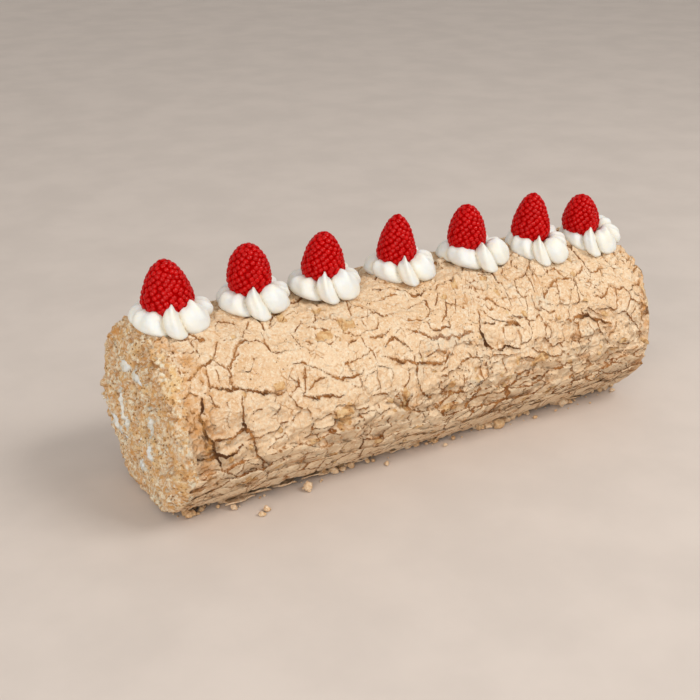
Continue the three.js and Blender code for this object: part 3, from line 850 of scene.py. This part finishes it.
def lobe_at(angle, turn):
    """Which lobe each direction lies in, and how far it is from the lobe's crest, from -1 to 1."""
    widths = np.array([lobe[1] for lobe in LOBES], float)
    widths *= 360 / widths.sum()
    start = LOBES[0][0] - widths[0] / 2 + turn
    place = np.mod(np.degrees(angle) - start, 360)
    edges = np.r_[0, np.cumsum(widths)]
    index = np.clip(np.searchsorted(edges, place, side="right") - 1, 0, len(LOBES) - 1)
    across = 2 * (place - edges[index]) / widths[index] - 1
    return index, across


def rosette_piece(number, material):
    """Soft lobes of piped cream round a raspberry, with creases between them and sharp crests on some."""
    node = f"cream_rosette_{number + 1}"
    _, _, middle, radius = solid_box(node)
    radius += 0.5
    around = np.linspace(-math.pi, math.pi, 160, endpoint=False)
    angle, bend = np.meshgrid(around, np.radians(np.linspace(-88, 232, 46)), indexing="ij")
    swing = 0.16 * np.sin(bend + 0.5 * chance(300, np.array([number]))[0])
    index, across = lobe_at(angle + swing, ROSETTE_TURNS[number])
    lobe = index + 31 * number
    own = chance(301, lobe) - 0.5
    table = np.array(LOBES)[index]
    reach = table[..., 2] * (1 + 0.1 * own)
    rise = table[..., 3] * (1 + 0.12 * (chance(302, lobe) - 0.5))
    form = table[..., 4] * (0.85 + 0.4 * chance(303, lobe))
    crest = np.sqrt(np.maximum(1 - np.abs(across) ** form, 0))
    peaked = step(0.98, 1.06, table[..., 3])

    def powered(value):
        return np.sign(value) * np.abs(value) ** 0.84

    out, up = np.cos(bend), np.sin(bend)
    share = 0.65 + np.where(out > 0, 0.35, 0.3) * powered(out)
    height = 0.4 + np.where(up > 0, 0.6, 0.4) * powered(up)
    upper = step(0.1, 0.75, height)
    share = share * (1 - (1 - crest) * (0.05 + 0.17 * step(0.5, 0.95, share)))
    share = 0.04 * (1 - upper) * step(0.6, 0.9, share) + share
    peak = 0.17 * peaked * np.exp(-((across / 0.3) ** 2)) * np.exp(-(((np.degrees(bend) - 82) / 30) ** 2))
    height = height * (1 - (1 - crest) * 0.36 * upper) * (1 + (rise - 1) * upper) + peak
    r = radius * share * (1 + (reach - 1) * step(0.4, 0.9, share))
    x = middle[0] + r * np.cos(angle)
    y = middle[1] + r * np.sin(angle)
    place = np.stack([x, y, ROSETTE_HEIGHT * height], -1)
    soft = 0.45 * noise(place, 8, 310 + number) + 0.2 * noise(place, 2.8, 320) + 0.05 * noise(place, 1.1, 321)
    flutes = 0.38 * np.cos(across * math.pi * 2.3 + own * 9) * upper
    puff = (soft + flutes) * step(0.02, 0.2, height)
    x = x + puff * np.cos(angle) * np.maximum(out, 0)
    y = y + puff * np.sin(angle) * np.maximum(out, 0)
    z = top_height(y) - 0.7 + ROSETTE_HEIGHT * height + puff * np.maximum(up, 0)
    rings = np.stack([x, y, z], -1).transpose(1, 0, 2)
    rows, count = rings.shape[:2]
    last = (rows - 1) * count
    points = np.concatenate([rings.reshape(-1, 3), [rings[0].mean(0), rings[-1].mean(0)]])
    closing = [fan_faces(rows * count, 0, count), fan_faces(rows * count + 1, last, count, True)]
    faces = np.concatenate([grid_faces(rows, count)] + closing)
    faces = outward(points, faces, middle, 0.9 * radius)
    # valley: how deep a place lies in a crease between lobes, the share of painted shade.
    marks = {"valley": np.r_[np.clip(1 - crest, 0, 1).T.ravel(), 0.5, 0.5]}
    mesh_piece(f"piped_rosette_{number + 1}", points, faces, material, marks, [node])


def berry_outline(half, height, widest, point):
    """Half widths and heights from the tip to the middle of the base, at even steps of the outline."""
    down = np.linspace(0, 1, 200) ** 1.6
    rise = np.minimum(down / widest, 1)
    round_share = np.sqrt(1 - (1 - rise) ** 2)
    upper = round_share + (rise**0.66 - round_share) * point
    below = np.maximum(down - widest, 0) / (1 - widest)
    across = np.r_[half * upper * np.sqrt(1 - (0.8 * below) ** 2), 0]
    up = np.r_[height * (1 - down), 0]
    length = np.r_[0, np.cumsum(np.hypot(np.diff(across), np.diff(up)))]
    even = np.linspace(0, length[-1], 260)
    return np.interp(even, length, across), np.interp(even, length, up)


def drupelets(number, across, up, spacing):
    """Small domes in winding rows over a berry's outline: points, faces, the gap mark for painted shade
    between them, and the tone mark.
    """
    along = np.stack([np.gradient(across), np.gradient(up)], -1)
    along /= np.linalg.norm(along, axis=1)[:, None]
    area = np.r_[0, np.cumsum((across[1:] + across[:-1]) * math.pi * np.hypot(np.diff(across), np.diff(up)))]
    count = int(area[-1] / (0.84 * spacing**2))
    order = np.arange(count)

    def uneven(seed):
        return chance(seed + number, order) - 0.5

    place = np.interp((order + 0.5 + 1.3 * uneven(401)) / count * area[-1], area, np.arange(len(area)))
    azimuth = order * math.pi * (3 - math.sqrt(5)) + 0.14 * uneven(402)
    cosine, sine = np.cos(azimuth), np.sin(azimuth)

    def at(values):
        return np.interp(place, np.arange(len(values)), values)

    heart = np.stack([at(across) * cosine, at(across) * sine, at(up)], -1)
    outward_flat, outward_up = -at(along[:, 1]), at(along[:, 0])
    out = np.stack([outward_flat * cosine, outward_flat * sine, outward_up], -1)
    aside = np.stack([-sine, cosine, np.zeros(count)], -1)
    upward = np.cross(out, aside)
    width = spacing * (0.59 + 0.08 * uneven(403))[:, None]
    tall = spacing * (0.44 + 0.08 * uneven(405))[:, None]
    rings, spokes = 4, 10
    dome, dome_faces = cap(np.linspace(0, math.pi * 0.52, rings + 1)[1:], spokes)
    points = (
        heart[:, None]
        + aside[:, None] * (width * dome[:, 0])[..., None]
        + upward[:, None] * (0.95 * width * dome[:, 1])[..., None]
        + out[:, None] * (tall * dome[:, 2] - 0.2 * spacing)[..., None]
    )
    faces = (order[:, None, None] * len(dome) + dome_faces[None]).reshape(-1, 4)
    # rim: from a dome's middle to its edge, the share of painted shade between drupelets.
    rim = np.tile(np.r_[0, np.repeat(np.arange(1, rings + 1) / rings, spokes)], count)
    tone = np.repeat(chance(404 + number, order), len(dome))
    return points.reshape(-1, 3), faces, rim, tone


def berry_core(across, up, height):
    """The closed body under the drupelets."""
    rows, columns = 30, 36
    places = np.linspace(2, len(across) - 8, rows)
    turn = spokes_round(columns)
    core_across, core_up = (np.interp(places, np.arange(len(across)), line) - 0.1 for line in (across, up))
    rings = [np.outer(core_across, np.cos(turn)), np.outer(core_across, np.sin(turn))]
    rings = np.stack(rings + [np.outer(core_up, np.ones(columns))], -1).reshape(-1, 3)
    points = np.concatenate([rings, [[0, 0, height - 0.1], [0, 0, core_up[-1]]]])
    closing = [fan_faces(rows * columns, 0, columns)]
    closing.append(fan_faces(rows * columns + 1, (rows - 1) * columns, columns, True))
    faces = np.concatenate([grid_faces(rows, columns)] + closing)
    return points, outward(points, faces, (0, 0, height / 2))


def raspberry_piece(number, settings, material):
    """A raspberry: its core, and drupelets in winding rows, each a small dome of its own."""
    node = f"raspberry_{number + 1}"
    low, high, middle, radius = solid_box(node)
    widest, point, lean = BERRY_SHAPES[number]
    spacing = settings.drupelet / MM
    rise = 0.3 * spacing
    height = high[2] - low[2] - rise - 0.4
    across, up = berry_outline(radius - rise, height, widest, point)
    points, faces, rim, tone = drupelets(number, across, up, spacing)
    core, core_faces = berry_core(across, up, height)
    faces = np.concatenate([faces, core_faces + len(points)])
    # The core shows only between the drupelets and gets the full painted shade.
    marks = {"gap": np.r_[rim, np.ones(len(core))], "tone": np.r_[tone, np.full(len(core), 0.5)]}
    points = np.concatenate([points, core])
    tilt = math.radians(lean)
    x, z = turned(points[:, 0], points[:, 2], -tilt)
    shift = middle[0] - height / 2 * math.sin(tilt)
    points = np.stack([x + shift, points[:, 1] + middle[1], z + low[2] + 0.2], -1)
    mesh_piece(f"berry_fruit_{number + 1}", points, faces, material, marks, [node])


class Paint:
    """A material in the making: its nodes, the settings that name its colours, and its colour so far."""

    def __init__(self, name, settings):
        self.material = bpy.data.materials.new(name)
        self.material.use_nodes = True
        self.tree = self.material.node_tree
        self.shader = self.tree.nodes["Principled BSDF"]
        self.settings = settings
        self.colour = None

    def node(self, kind, **values):
        """A shader node with its inputs or properties set by name."""
        node = self.tree.nodes.new(kind)
        for name, value in values.items():
            label = name.replace("_", " ")
            if label in node.inputs:
                node.inputs[label].default_value = value
            else:
                setattr(node, name, value)
        return node

    def feed(self, socket, value):
        """Gives a socket another node's result, a number, a colour, or the setting of that name."""
        if isinstance(value, str):
            value = tuple(getattr(self.settings, value))
        if isinstance(value, tuple):
            socket.default_value = (*value, 1)
        elif isinstance(value, (int, float)):
            socket.default_value = value
        else:
            self.tree.links.new(value, socket)

    def math(self, operation, *values):
        """The result of one operation on values."""
        node = self.node("ShaderNodeMath", operation=operation)
        for socket, value in zip(node.inputs, values):
            self.feed(socket, value)
        return node.outputs[0]

    def times(self, first, second):
        """The product of two values."""
        return self.math("MULTIPLY", first, second)

    def plus(self, first, second):
        """The sum of two values."""
        return self.math("ADD", first, second)

    def mixed(self, share, first, second):
        """One colour going over into another."""
        node = self.node("ShaderNodeMix", data_type="RGBA")
        for place, value in (("Factor", share), (6, first), (7, second)):
            self.feed(node.inputs[place], value)
        return node.outputs[2]

    def over(self, share, colour):
        """Lays a share of a colour over the colour so far."""
        self.colour = self.mixed(share, self.colour, colour)

    def mark(self, name):
        """The value that the mesh carries under that name."""
        return self.node("ShaderNodeAttribute", attribute_name=name).outputs["Fac"]

    def ramp(self, value, low, high, bottom=0.0, top=1.0):
        """A smooth share of a value between two limits."""
        limits = {"From_Min": low, "From_Max": high, "To_Min": bottom, "To_Max": top}
        node = self.node("ShaderNodeMapRange", interpolation_type="SMOOTHSTEP", **limits)
        self.tree.links.new(value, node.inputs["Value"])
        return node.outputs["Result"]

    def place(self):
        """Places on the object."""
        return self.node("ShaderNodeTexCoord").outputs["Object"]

    def moved(self, operation, place, *values):
        """Places, changed by an operation with numbers, or with another node's result."""
        node = self.node("ShaderNodeVectorMath", operation=operation)
        for socket, value in zip(node.inputs, (place, *values)):
            if isinstance(value, float):
                socket.default_value = [value] * 3
            else:
                self.tree.links.new(value, socket)
        return node.outputs[0]

    def texture(self, kind, size, place, **values):
        """The results of a texture with lumps or cells of that size in millimetres."""
        node = self.node(f"ShaderNodeTex{kind}", Scale=1 / (size * MM), **values)
        self.tree.links.new(place, node.inputs["Vector"])
        return node.outputs

    def grain(self, size, detail, roughness=0.55):
        """Fine noise with lumps of that size in millimetres."""
        return self.texture("Noise", size, self.place(), Detail=detail, Roughness=roughness)["Fac"]

    def hairlines(self, size, width):
        """Ragged fine lines between cells of that size: 1 on a line and 0 away from it."""
        place = self.place()
        waver = self.texture("Noise", 2.2, place, Detail=2.0)["Color"]
        bent = self.moved("MULTIPLY_ADD", waver, 1.6 * MM, place)
        cells = self.texture("Voronoi", size, bent, feature="DISTANCE_TO_EDGE")
        return self.ramp(cells["Distance"], 0.2 * width / size, width / size, 1, 0)

    def pores(self, size, share, shift):
        """Round spots in some of the cells of that size: 1 in a spot."""
        cells = self.texture("Voronoi", size, self.moved("ADD", self.place(), shift), feature="F1")
        return self.ramp(cells["Distance"], 0.6 * share, share, 1, 0)

    def finish(self, roughness, relief, depth, shine):
        """The finished material, with its relief's depth in millimetres."""
        bump = self.node("ShaderNodeBump", Strength=1.0, Distance=depth * MM)
        self.tree.links.new(relief, bump.inputs["Height"])
        results = {"Base Color": self.colour, "Roughness": roughness, "Specular IOR Level": shine}
        for name, value in {**results, "Normal": bump.outputs["Normal"]}.items():
            self.feed(self.shader.inputs[name], value)
        return self.material


def crust_material(settings):
    """Pale matt crust with fine cracks, browner at its edges, and torn sponge where it is off."""
    paint = Paint("baked_crust", settings)
    mark, grain, ramp, mixed, over = paint.mark, paint.grain, paint.ramp, paint.mixed, paint.over
    times, plus = paint.times, paint.plus
    paint.colour = mixed(ramp(grain(9, 5, 0.62), 0.36, 0.66), "crust_pale", "crust_tan")
    over(times(mark("shade"), 0.4), "crust_warm")
    over(ramp(grain(1.5, 5, 0.7), 0.54, 0.66, 0, 0.75), "crust_warm")
    over(ramp(grain(2.2, 5, 0.75), 0.46, 0.34, 0, 0.7), "chalk_and_edge_highlight")
    # Painted highlight on the curled plate edges beside the cracks.
    over(times(mark("curl"), 0.6), "chalk_and_edge_highlight")
    grit = grain(1.3, 5, 0.7)
    over(ramp(grit, 0.42, 0.33, 0, 0.55), "crust_edge")
    over(ramp(grit, 0.52, 0.62, 0, 0.8), "chalk_and_edge_highlight")
    over(times(ramp(mark("rim"), 0.3, 1.0), ramp(grain(3.4, 5, 0.7), 0.45, 0.58, 0, 0.6)), "toast")
    # Painted light: the lower flanks are painted paler to lift the shade they lie in.
    over(times(mark("low"), 0.45), "low_flank_painted_light")

    ragged_gap = plus(mark("gap"), ramp(grain(1.0, 3), 0.25, 0.75, -0.16, 0.16))
    edge = plus(ragged_gap, ramp(grain(7, 3), 0.3, 0.7, 0, 1.6))
    over(ramp(edge, 1.0, 0.3, 0, 0.55), "crust_edge")
    part = paint.math("FRACT", mark("layers"))
    step_line = times(ramp(part, 0.76, 0.86), ramp(part, 1.0, 0.9))
    step_line = times(step_line, ramp(grain(6, 3), 0.46, 0.6, 0, 0.75))
    over(times(step_line, 0.6), "crust_edge")

    lines = times(paint.hairlines(8, 0.3), ramp(grain(11, 2), 0.54, 0.64, 0, 0.7))
    over(lines, "hairline_and_pore_shade")
    honey = mixed(ramp(grain(2.2, 4), 0.38, 0.62), "honey", "honey_pale")
    over(ramp(mark("bare"), 0.25, 0.6, 0, 0.85), honey)

    crack = ramp(ragged_gap, 0.2, -0.08)
    fine_tone = mixed(ramp(grain(5, 2), 0.4, 0.6), "hairline_and_pore_shade", "crack_brown_and_pore_shade")
    # Wide cracks darken towards their bottoms: browner crumb, and painted shade in the deep part.
    over(crack, mixed(mark("depth"), fine_tone, "crack_bottom_and_shade"))
    over(times(ramp(ragged_gap, 0.0, -0.35), ramp(mark("depth"), 0.1, 0.7)), "crack_bottom_and_shade")
    holes = times(paint.pores(2.6, 0.16, 0.3), ramp(grain(9, 2), 0.48, 0.6))
    over(holes, "crack_brown_and_pore_shade")

    crumbs = mixed(ramp(grain(2.2, 6, 0.75), 0.39, 0.6), "crumb_brown", "crumb_pale")
    crumbs = mixed(ramp(grain(8, 3), 0.48, 0.66, 0, 0.6), crumbs, "crumb_gold")
    small_pores = times(paint.pores(1.6, 0.34, 0.7), ramp(grain(4, 2), 0.44, 0.58))
    # In the crumbly parts, the small pores get painted shade.
    over(mark("crumb"), mixed(times(small_pores, 0.8), crumbs, "crack_brown_and_pore_shade"))
    over(times(mark("toast"), ramp(grain(2.6, 4, 0.65), 0.38, 0.56, 0, 0.95)), "toast")
    # Painted shade in the sponge's pores and in the hollow of the near face.
    over(ramp(mark("pore"), 0.3, 1.0, 0, 0.6), "hairline_and_pore_shade")
    over(times(mark("residue"), 0.92), "cream_soft")
    smear = times(mark("smear"), ramp(grain(2.4, 3), 0.4, 0.62, 0, 0.55))
    over(times(smear, ramp(ragged_gap, -0.2, 0.6, 0.45, 1)), "smear_grey")

    sunk = plus(holes, times(small_pores, mark("crumb")))
    relief = grain(1.4, 6, 0.72)
    for form, share in ((lines, -0.2), (grit, 0.3), (crack, -0.4), (sunk, -0.4)):
        relief = plus(relief, times(form, share))
    return paint.finish(ramp(grain(3, 2), 0.3, 0.7, 0.72, 0.95), relief, 1.5, 0.2)


def cream_material(settings):
    """Whipped cream: white and soft, with painted shade, a little yellow, in its creases."""
    paint = Paint("whipped_cream", settings)
    grain, ramp = paint.grain, paint.ramp
    paint.colour = paint.mixed(ramp(grain(6, 3), 0.3, 0.7), "cream_white", "cream_soft")
    # Painted shade, warm and a little yellow, in the creases between lobes.
    paint.over(ramp(paint.mark("valley"), 0.3, 1.0, 0, 0.8), "cream_crease_shade")
    depths = {"Weight": 0.25, "Radius": (1.0, 0.8, 0.55), "Scale": 3 * MM}
    for name, value in depths.items():
        paint.shader.inputs[f"Subsurface {name}"].default_value = value
    return paint.finish(ramp(grain(2, 2), 0.3, 0.7, 0.38, 0.55), grain(1.3, 4, 0.65), 0.3, 0.35)


def raspberry_material(settings):
    """Deep red fruit skin: each drupelet a slightly different red, with painted shade in the gaps."""
    paint = Paint("raspberry_skin", settings)
    mark, grain, ramp = paint.mark, paint.grain, paint.ramp
    paint.colour = paint.mixed(mark("tone"), "berry_red", "berry_bright")
    # Painted shade at the edges of the drupelets and in the gaps.
    paint.over(ramp(mark("gap"), 0.35, 0.95, 0, 0.7), "berry_gap_shade")
    paint.over(ramp(grain(3.5, 3), 0.45, 0.75, 0, 0.3), "berry_bright")
    gloss = ramp(mark("gap"), 0.7, 0.2, 0.02, 0.24)
    return paint.finish(ramp(grain(1.8, 3), 0.3, 0.7, 0.2, 0.34), grain(0.7, 2), 0.06, gloss)


def flake(k, place, half_length, half_width, turn, lean):
    """One curled flake's points: its middle and rings on top, and the same below."""
    spoke = spokes_round(FLAKE_SPOKES)
    edge = 0.62 + 0.5 * chance(520 + k, (spoke * 2.6).astype(int))
    edge += 0.24 * chance(560 + k, np.arange(FLAKE_SPOKES))
    flat = np.linspace(0, 1, FLAKE_RINGS + 1)[1:, None] * edge[None, :]
    u = flat * np.cos(spoke) * half_length
    w = flat * np.sin(spoke) * half_width
    curl = 0.8 * (w / half_width) ** 2 + 0.5 * noise(np.stack([u + 50 * k, w, u * 0], -1), 2.6, 530)
    thick = 0.75 + 0.3 * noise(np.stack([u + 50 * k, w, u * 0 + 9], -1), 1.6, 531)
    across, rise = turned(w, curl, -math.radians(lean))
    x, y = turned(u, across, math.radians(turn))
    x, y = x + place[0], y + place[1]
    top, under = (np.stack([x, y, z], -1).reshape(-1, 3) for z in (rise + thick, rise))
    body = np.concatenate([[[*place, 0.5]], top, [[*place, 0]], under])
    body[:, 2] -= body[:, 2].min() - 0.05
    return body


def flakes_piece(material):
    """Curled flakes of crust that have come off the underside, tucked in along the foot of the roll."""
    places = list(FRONT_FLAKES)
    for k in range(BACK_FLAKES):
        pick = chance(500 + k, np.arange(6))
        x = (k - 4) * 29 + 16 * (pick[0] - 0.5)
        size = 3 + 4 * pick[2], 2 + pick[3]
        places.append((x, 21 + pick[1], *size, 180 + 20 * (pick[4] - 0.5), 12 + 8 * pick[5]))
    bodies = [flake(k, (x, y), *form) for k, (x, y, *form) in enumerate(places)]
    half = 1 + FLAKE_RINGS * FLAKE_SPOKES
    rim = half - FLAKE_SPOKES + np.arange(FLAKE_SPOKES)
    after = np.roll(rim, -1)
    own = [disc_faces(FLAKE_RINGS, FLAKE_SPOKES), disc_faces(FLAKE_RINGS, FLAKE_SPOKES, half, True)]
    own = np.concatenate(own + [np.stack([rim, half + rim, half + after, after], -1)])
    scatter("crust_flakes", bodies, own, [0.3 * (k % 3 == 0) for k in range(len(places))], material)


def crumbs_piece(material):
    """Crumbs of crust and sponge that lie close along the foot and below the ends."""
    places = list(LARGE_CRUMBS)
    for number, (x, y, spread_x, spread_y, many) in enumerate(CRUMB_GROUPS):
        for right, out, big in chance(640 + number, np.arange(3 * many)).reshape(many, 3):
            size = 0.6 + 2.1 * big**1.5
            places.append((x + spread_x * (2 * right - 1), y + spread_y * (2 * out - 1), size))
    for right, out, big in chance(660, np.arange(3 * LOOSE_CRUMBS)).reshape(LOOSE_CRUMBS, 3):
        side = 1 if len(places) % 2 else -1
        y = side * (22 + 12 * out**2.2)
        places.append(((right - 0.5) * (ROLL_LENGTH - 8), y, 0.4 + 1.6 * big**4))
    turn, flat, bare = (chance(600 + k, np.arange(len(places))) for k in range(3))
    rings, spokes = 7, 10
    ball, faces = cap(np.linspace(0, math.pi, rings + 2)[1:-1], spokes)
    foot = len(ball)
    ball = np.concatenate([ball, [[0, 0, -1]]])
    faces = np.concatenate([faces, fan_faces(foot, foot - spokes, spokes, True)])
    bodies = []
    for k, (x, y, size) in enumerate(places):
        body = ball * (1 + 0.45 * noise(ball * size + 40 * k, 1.1 + 0.3 * size, 611))[:, None]
        body = body * size * np.array([1.15, 0.9, 0.55 + 0.4 * flat[k]])
        flat_x, flat_y = turned(body[:, 0], body[:, 1], 2 * math.pi * turn[k])
        bodies.append(np.stack([x + flat_x, y + flat_y, body[:, 2] - body[:, 2].min()], -1))
    scatter("crumbs", bodies, faces, 0.45 * (bare > 0.45), material)


def scatter(name, bodies, faces, bare, material):
    """One piece of loose bits that share their faces, each bared by its own share."""
    each = len(bodies[0])
    faces = (np.arange(len(bodies))[:, None, None] * each + faces[None]).reshape(-1, 4)
    points = np.concatenate(bodies)
    marks = {name: np.zeros(len(points)) for name in LOOSE_ZEROS}
    marks.update({"bare": np.repeat(bare, each), "gap": np.full(len(points), 4.0)})
    marks.update({name: np.full(len(points), 0.5) for name in ("layers", "shade")})
    mesh_piece(name, points, faces, material, marks)


def soft_light(name, place, target, size, power, colour):
    """A large square light that faces a target."""
    data = bpy.data.lights.new(name, "AREA")
    data.size = size
    data.energy = power
    data.color = colour
    lamp = bpy.data.objects.new(name, data)
    bpy.context.collection.objects.link(lamp)
    lamp.location = place
    aim = lamp.location.copy()
    aim.xyz = target
    lamp.rotation_euler = (aim - lamp.location).to_track_quat("-Z", "Y").to_euler()


def colour_property(name, description, *screen_values):
    """A colour of the settings, its default given in 8-bit screen values."""
    limits = {"size": 3, "subtype": "COLOR", "min": 0, "max": 1}
    return FloatVectorProperty(name=name, description=description, default=srgb(*screen_values), **limits)


class RouladeSettings(bpy.types.PropertyGroup):
    """Sizes and colours of the cake."""

    crust_grain: FloatProperty(
        name="Crust grain",
        description="Distance between the crust's points",
        default=0.56 * MM,
        unit="LENGTH",
    )
    drupelet: FloatProperty(
        name="Drupelet",
        description="Distance between a raspberry's drupelets",
        default=2.75 * MM,
        unit="LENGTH",
    )
    crust_pieces: IntProperty(
        name="Crust pieces", description="Stretches that the crust is made in", default=2, min=2, max=6
    )
    crust_pale: colour_property("Pale crust", "The lightest crust", 252, 222, 184)
    crust_tan: colour_property("Tan crust", "Most of the crust", 244, 207, 164)
    crust_warm: colour_property("Warm crust", "Browner patches and freckles", 228, 180, 130)
    # Chalky crust: rubbed pale spots, and also the painted highlight on curled plate edges.
    chalk_and_edge_highlight: colour_property("Chalky crust", "Rubbed spots where the crust is palest", 255, 238, 211)
    crust_edge: colour_property("Crust edge", "The toasted edges of the plates", 208, 144, 82)
    # Lower crust: a paler colour painted on the low flanks as painted light.
    low_flank_painted_light: colour_property("Lower crust", "Crust low on the sides", 252, 225, 188)
    # Hairline crack: the finest cracks, and also the painted shade in pores.
    hairline_and_pore_shade: colour_property("Hairline crack", "The finest cracks", 190, 130, 76)
    # Crack edge: fine cracks, the upper walls of wide ones and brown pits, and also painted shade in small
    # pores.
    crack_brown_and_pore_shade: colour_property("Crack edge", "Fine cracks and the upper walls of wide ones", 154, 98, 52)
    # Crack depth: the browner bottom of a crack, with painted shade there.
    crack_bottom_and_shade: colour_property("Crack depth", "The bottom of a crack", 88, 56, 32)
    honey: colour_property("Honey crumb", "Sponge bared by a lost flake", 206, 148, 86)
    honey_pale: colour_property("Pale honey crumb", "Lighter crumbs of the bare sponge", 238, 200, 146)
    toast: colour_property("Toasted rim", "Browned crumbs round the ends", 220, 156, 88)
    crumb_brown: colour_property("Sponge", "The sponge of the end faces", 220, 166, 104)
    crumb_pale: colour_property("Pale sponge", "Lighter crumbs of the end faces", 255, 245, 218)
    crumb_gold: colour_property("Golden sponge", "Yellower patches of the end faces", 246, 202, 138)
    smear_grey: colour_property("Cream smear", "Cream dried on the crust", 226, 212, 188)
    cream_white: colour_property("Cream", "Whipped cream in the light", 222, 225, 223)
    cream_soft: colour_property("Soft cream", "Whipped cream's softer patches", 228, 225, 212)
    # Deep cream: the painted shade in the creases.
    cream_crease_shade: colour_property("Deep cream", "Cream in the creases", 232, 214, 178)
    berry_red: colour_property("Raspberry", "Most drupelets", 172, 1, 2)
    berry_bright: colour_property("Bright raspberry", "The lightest drupelets", 188, 2, 3)
    # Deep raspberry: the painted shade between the drupelets.
    berry_gap_shade: colour_property("Deep raspberry", "Between the drupelets", 132, 1, 3)
    floor_colour: colour_property("Floor", "The pale floor", 200, 189, 180)
    key_power: FloatProperty(
        name="Main light", description="Power of the large light", default=10.6, unit="POWER"
    )
    fill_power: FloatProperty(
        name="Side light", description="Power of the side light", default=10, unit="POWER"
    )
    sky: FloatProperty(name="Room light", description="Strength of the even light", default=0.72, min=0)


class CAKE_OT_bake_crust(bpy.types.Operator):
    """Bake the cracked crust with its crumbly end faces"""

    bl_idname = "cake.bake_crust"
    bl_label = "Bake Crust"

    def execute(self, context):
        settings = context.scene.roulade
        material = crust_material(settings)
        grain_size = settings.crust_grain / MM
        edges = np.linspace(END_STRIP, ROLL_LENGTH - END_STRIP, settings.crust_pieces + 1)
        for number, (first, last) in enumerate(zip(edges, edges[1:])):
            lengths = np.linspace(first, last, round((last - first) / grain_size) + 1)
            crust_strip(f"crust_side_{number + 1}", lengths, grain_size, material)
        crust_end("crust_near_end", -1, grain_size, material)
        crust_end("crust_far_end", 1, grain_size, material)
        return {"FINISHED"}


class CAKE_OT_spread_filling(bpy.types.Operator):
    """Spread the cream band that is rolled into the sponge"""

    bl_idname = "cake.spread_filling"
    bl_label = "Spread Filling"

    def execute(self, context):
        filling_piece(cream_material(context.scene.roulade))
        return {"FINISHED"}


class CAKE_OT_pipe_rosettes(bpy.types.Operator):
    """Pipe the row of cream rosettes along the top"""

    bl_idname = "cake.pipe_rosettes"
    bl_label = "Pipe Rosettes"

    def execute(self, context):
        material = cream_material(context.scene.roulade)
        for number in range(len(ROSETTE_TURNS)):
            rosette_piece(number, material)
        return {"FINISHED"}


class CAKE_OT_set_raspberries(bpy.types.Operator):
    """Set a raspberry in each rosette"""

    bl_idname = "cake.set_raspberries"
    bl_label = "Set Raspberries"

    def execute(self, context):
        settings = context.scene.roulade
        material = raspberry_material(settings)
        for number in range(len(BERRY_SHAPES)):
            raspberry_piece(number, settings, material)
        return {"FINISHED"}


class CAKE_OT_drop_flakes(bpy.types.Operator):
    """Leave curled flakes of crust along the foot"""

    bl_idname = "cake.drop_flakes"
    bl_label = "Drop Flakes"

    def execute(self, context):
        material = bpy.data.materials["baked_crust"]
        flakes_piece(material)
        crumbs_piece(material)
        return {"FINISHED"}


class CAKE_OT_set_stage(bpy.types.Operator):
    """Set the floor, the lights and the camera"""

    bl_idname = "cake.set_stage"
    bl_label = "Set Stage"

    def execute(self, context):
        settings = context.scene.roulade
        mesh = bpy.data.meshes.new("floor")
        corners = [(right * 6, back * 6, 0) for right, back in ((-1, -1), (1, -1), (1, 1), (-1, 1))]
        mesh.from_pydata(corners, [], [(0, 1, 2, 3)])
        floor = bpy.data.objects.new("floor", mesh)
        context.collection.objects.link(floor)
        paint = Paint("pale_floor", settings)
        light_tone = tuple(min(1, share * 1.08) for share in settings.floor_colour)
        colour = paint.mixed(paint.ramp(paint.grain(60, 4), 0.3, 0.7), "floor_colour", light_tone)
        paint.feed(paint.shader.inputs["Base Color"], colour)
        paint.feed(paint.shader.inputs["Roughness"], 0.7)
        mesh.materials.append(paint.material)

        soft_light("main_light", (0.55, -0.75, 1.1), (0, 0, 0.05), 0.6, settings.key_power, (1, 0.985, 0.96))
        soft_light("side_light", (-1.1, -0.9, 0.6), (0, 0, 0.05), 1.0, settings.fill_power, (1, 0.985, 0.97))
        world = bpy.data.worlds.new("room")
        context.scene.world = world
        world.use_nodes = True
        background = world.node_tree.nodes["Background"]
        background.inputs["Color"].default_value = (*srgb(230, 226, 222), 1)
        background.inputs["Strength"].default_value = settings.sky

        data = bpy.data.cameras.new("camera")
        data.lens = CAMERA_LENS
        data.sensor_width = 36
        data.clip_end = 50
        camera = bpy.data.objects.new("camera", data)
        context.collection.objects.link(camera)
        camera.location = [value * MM for value in CAMERA_PLACE]
        camera.rotation_euler = (math.radians(90 - CAMERA_PITCH), 0, math.radians(-CAMERA_YAW))
        context.scene.camera = camera
        context.scene.view_settings.view_transform = "Standard"
        return {"FINISHED"}


class CAKE_PT_roulade(bpy.types.Panel):
    """The roulade's settings and steps"""

    bl_idname = "CAKE_PT_roulade"
    bl_label = "Meringue Roulade"
    bl_space_type = "VIEW_3D"
    bl_region_type = "UI"
    bl_category = "Roulade"

    def draw(self, context):
        settings = context.scene.roulade
        for name in settings.__annotations__:
            self.layout.prop(settings, name)
        for operator in OPERATORS:
            self.layout.operator(operator.bl_idname)


OPERATORS = (
    CAKE_OT_bake_crust,
    CAKE_OT_spread_filling,
    CAKE_OT_pipe_rosettes,
    CAKE_OT_set_raspberries,
    CAKE_OT_drop_flakes,
    CAKE_OT_set_stage,
)
CLASSES = (RouladeSettings, *OPERATORS, CAKE_PT_roulade)


def register():
    for each in CLASSES:
        bpy.utils.register_class(each)
    bpy.types.Scene.roulade = PointerProperty(type=RouladeSettings)


def unregister():
    del bpy.types.Scene.roulade
    for each in reversed(CLASSES):
        bpy.utils.unregister_class(each)


def main():
    register()
    bpy.ops.cake.bake_crust()
    bpy.ops.cake.spread_filling()
    bpy.ops.cake.pipe_rosettes()
    bpy.ops.cake.set_raspberries()
    bpy.ops.cake.drop_flakes()
    bpy.ops.cake.set_stage()


if __name__ == "__main__":
    main()
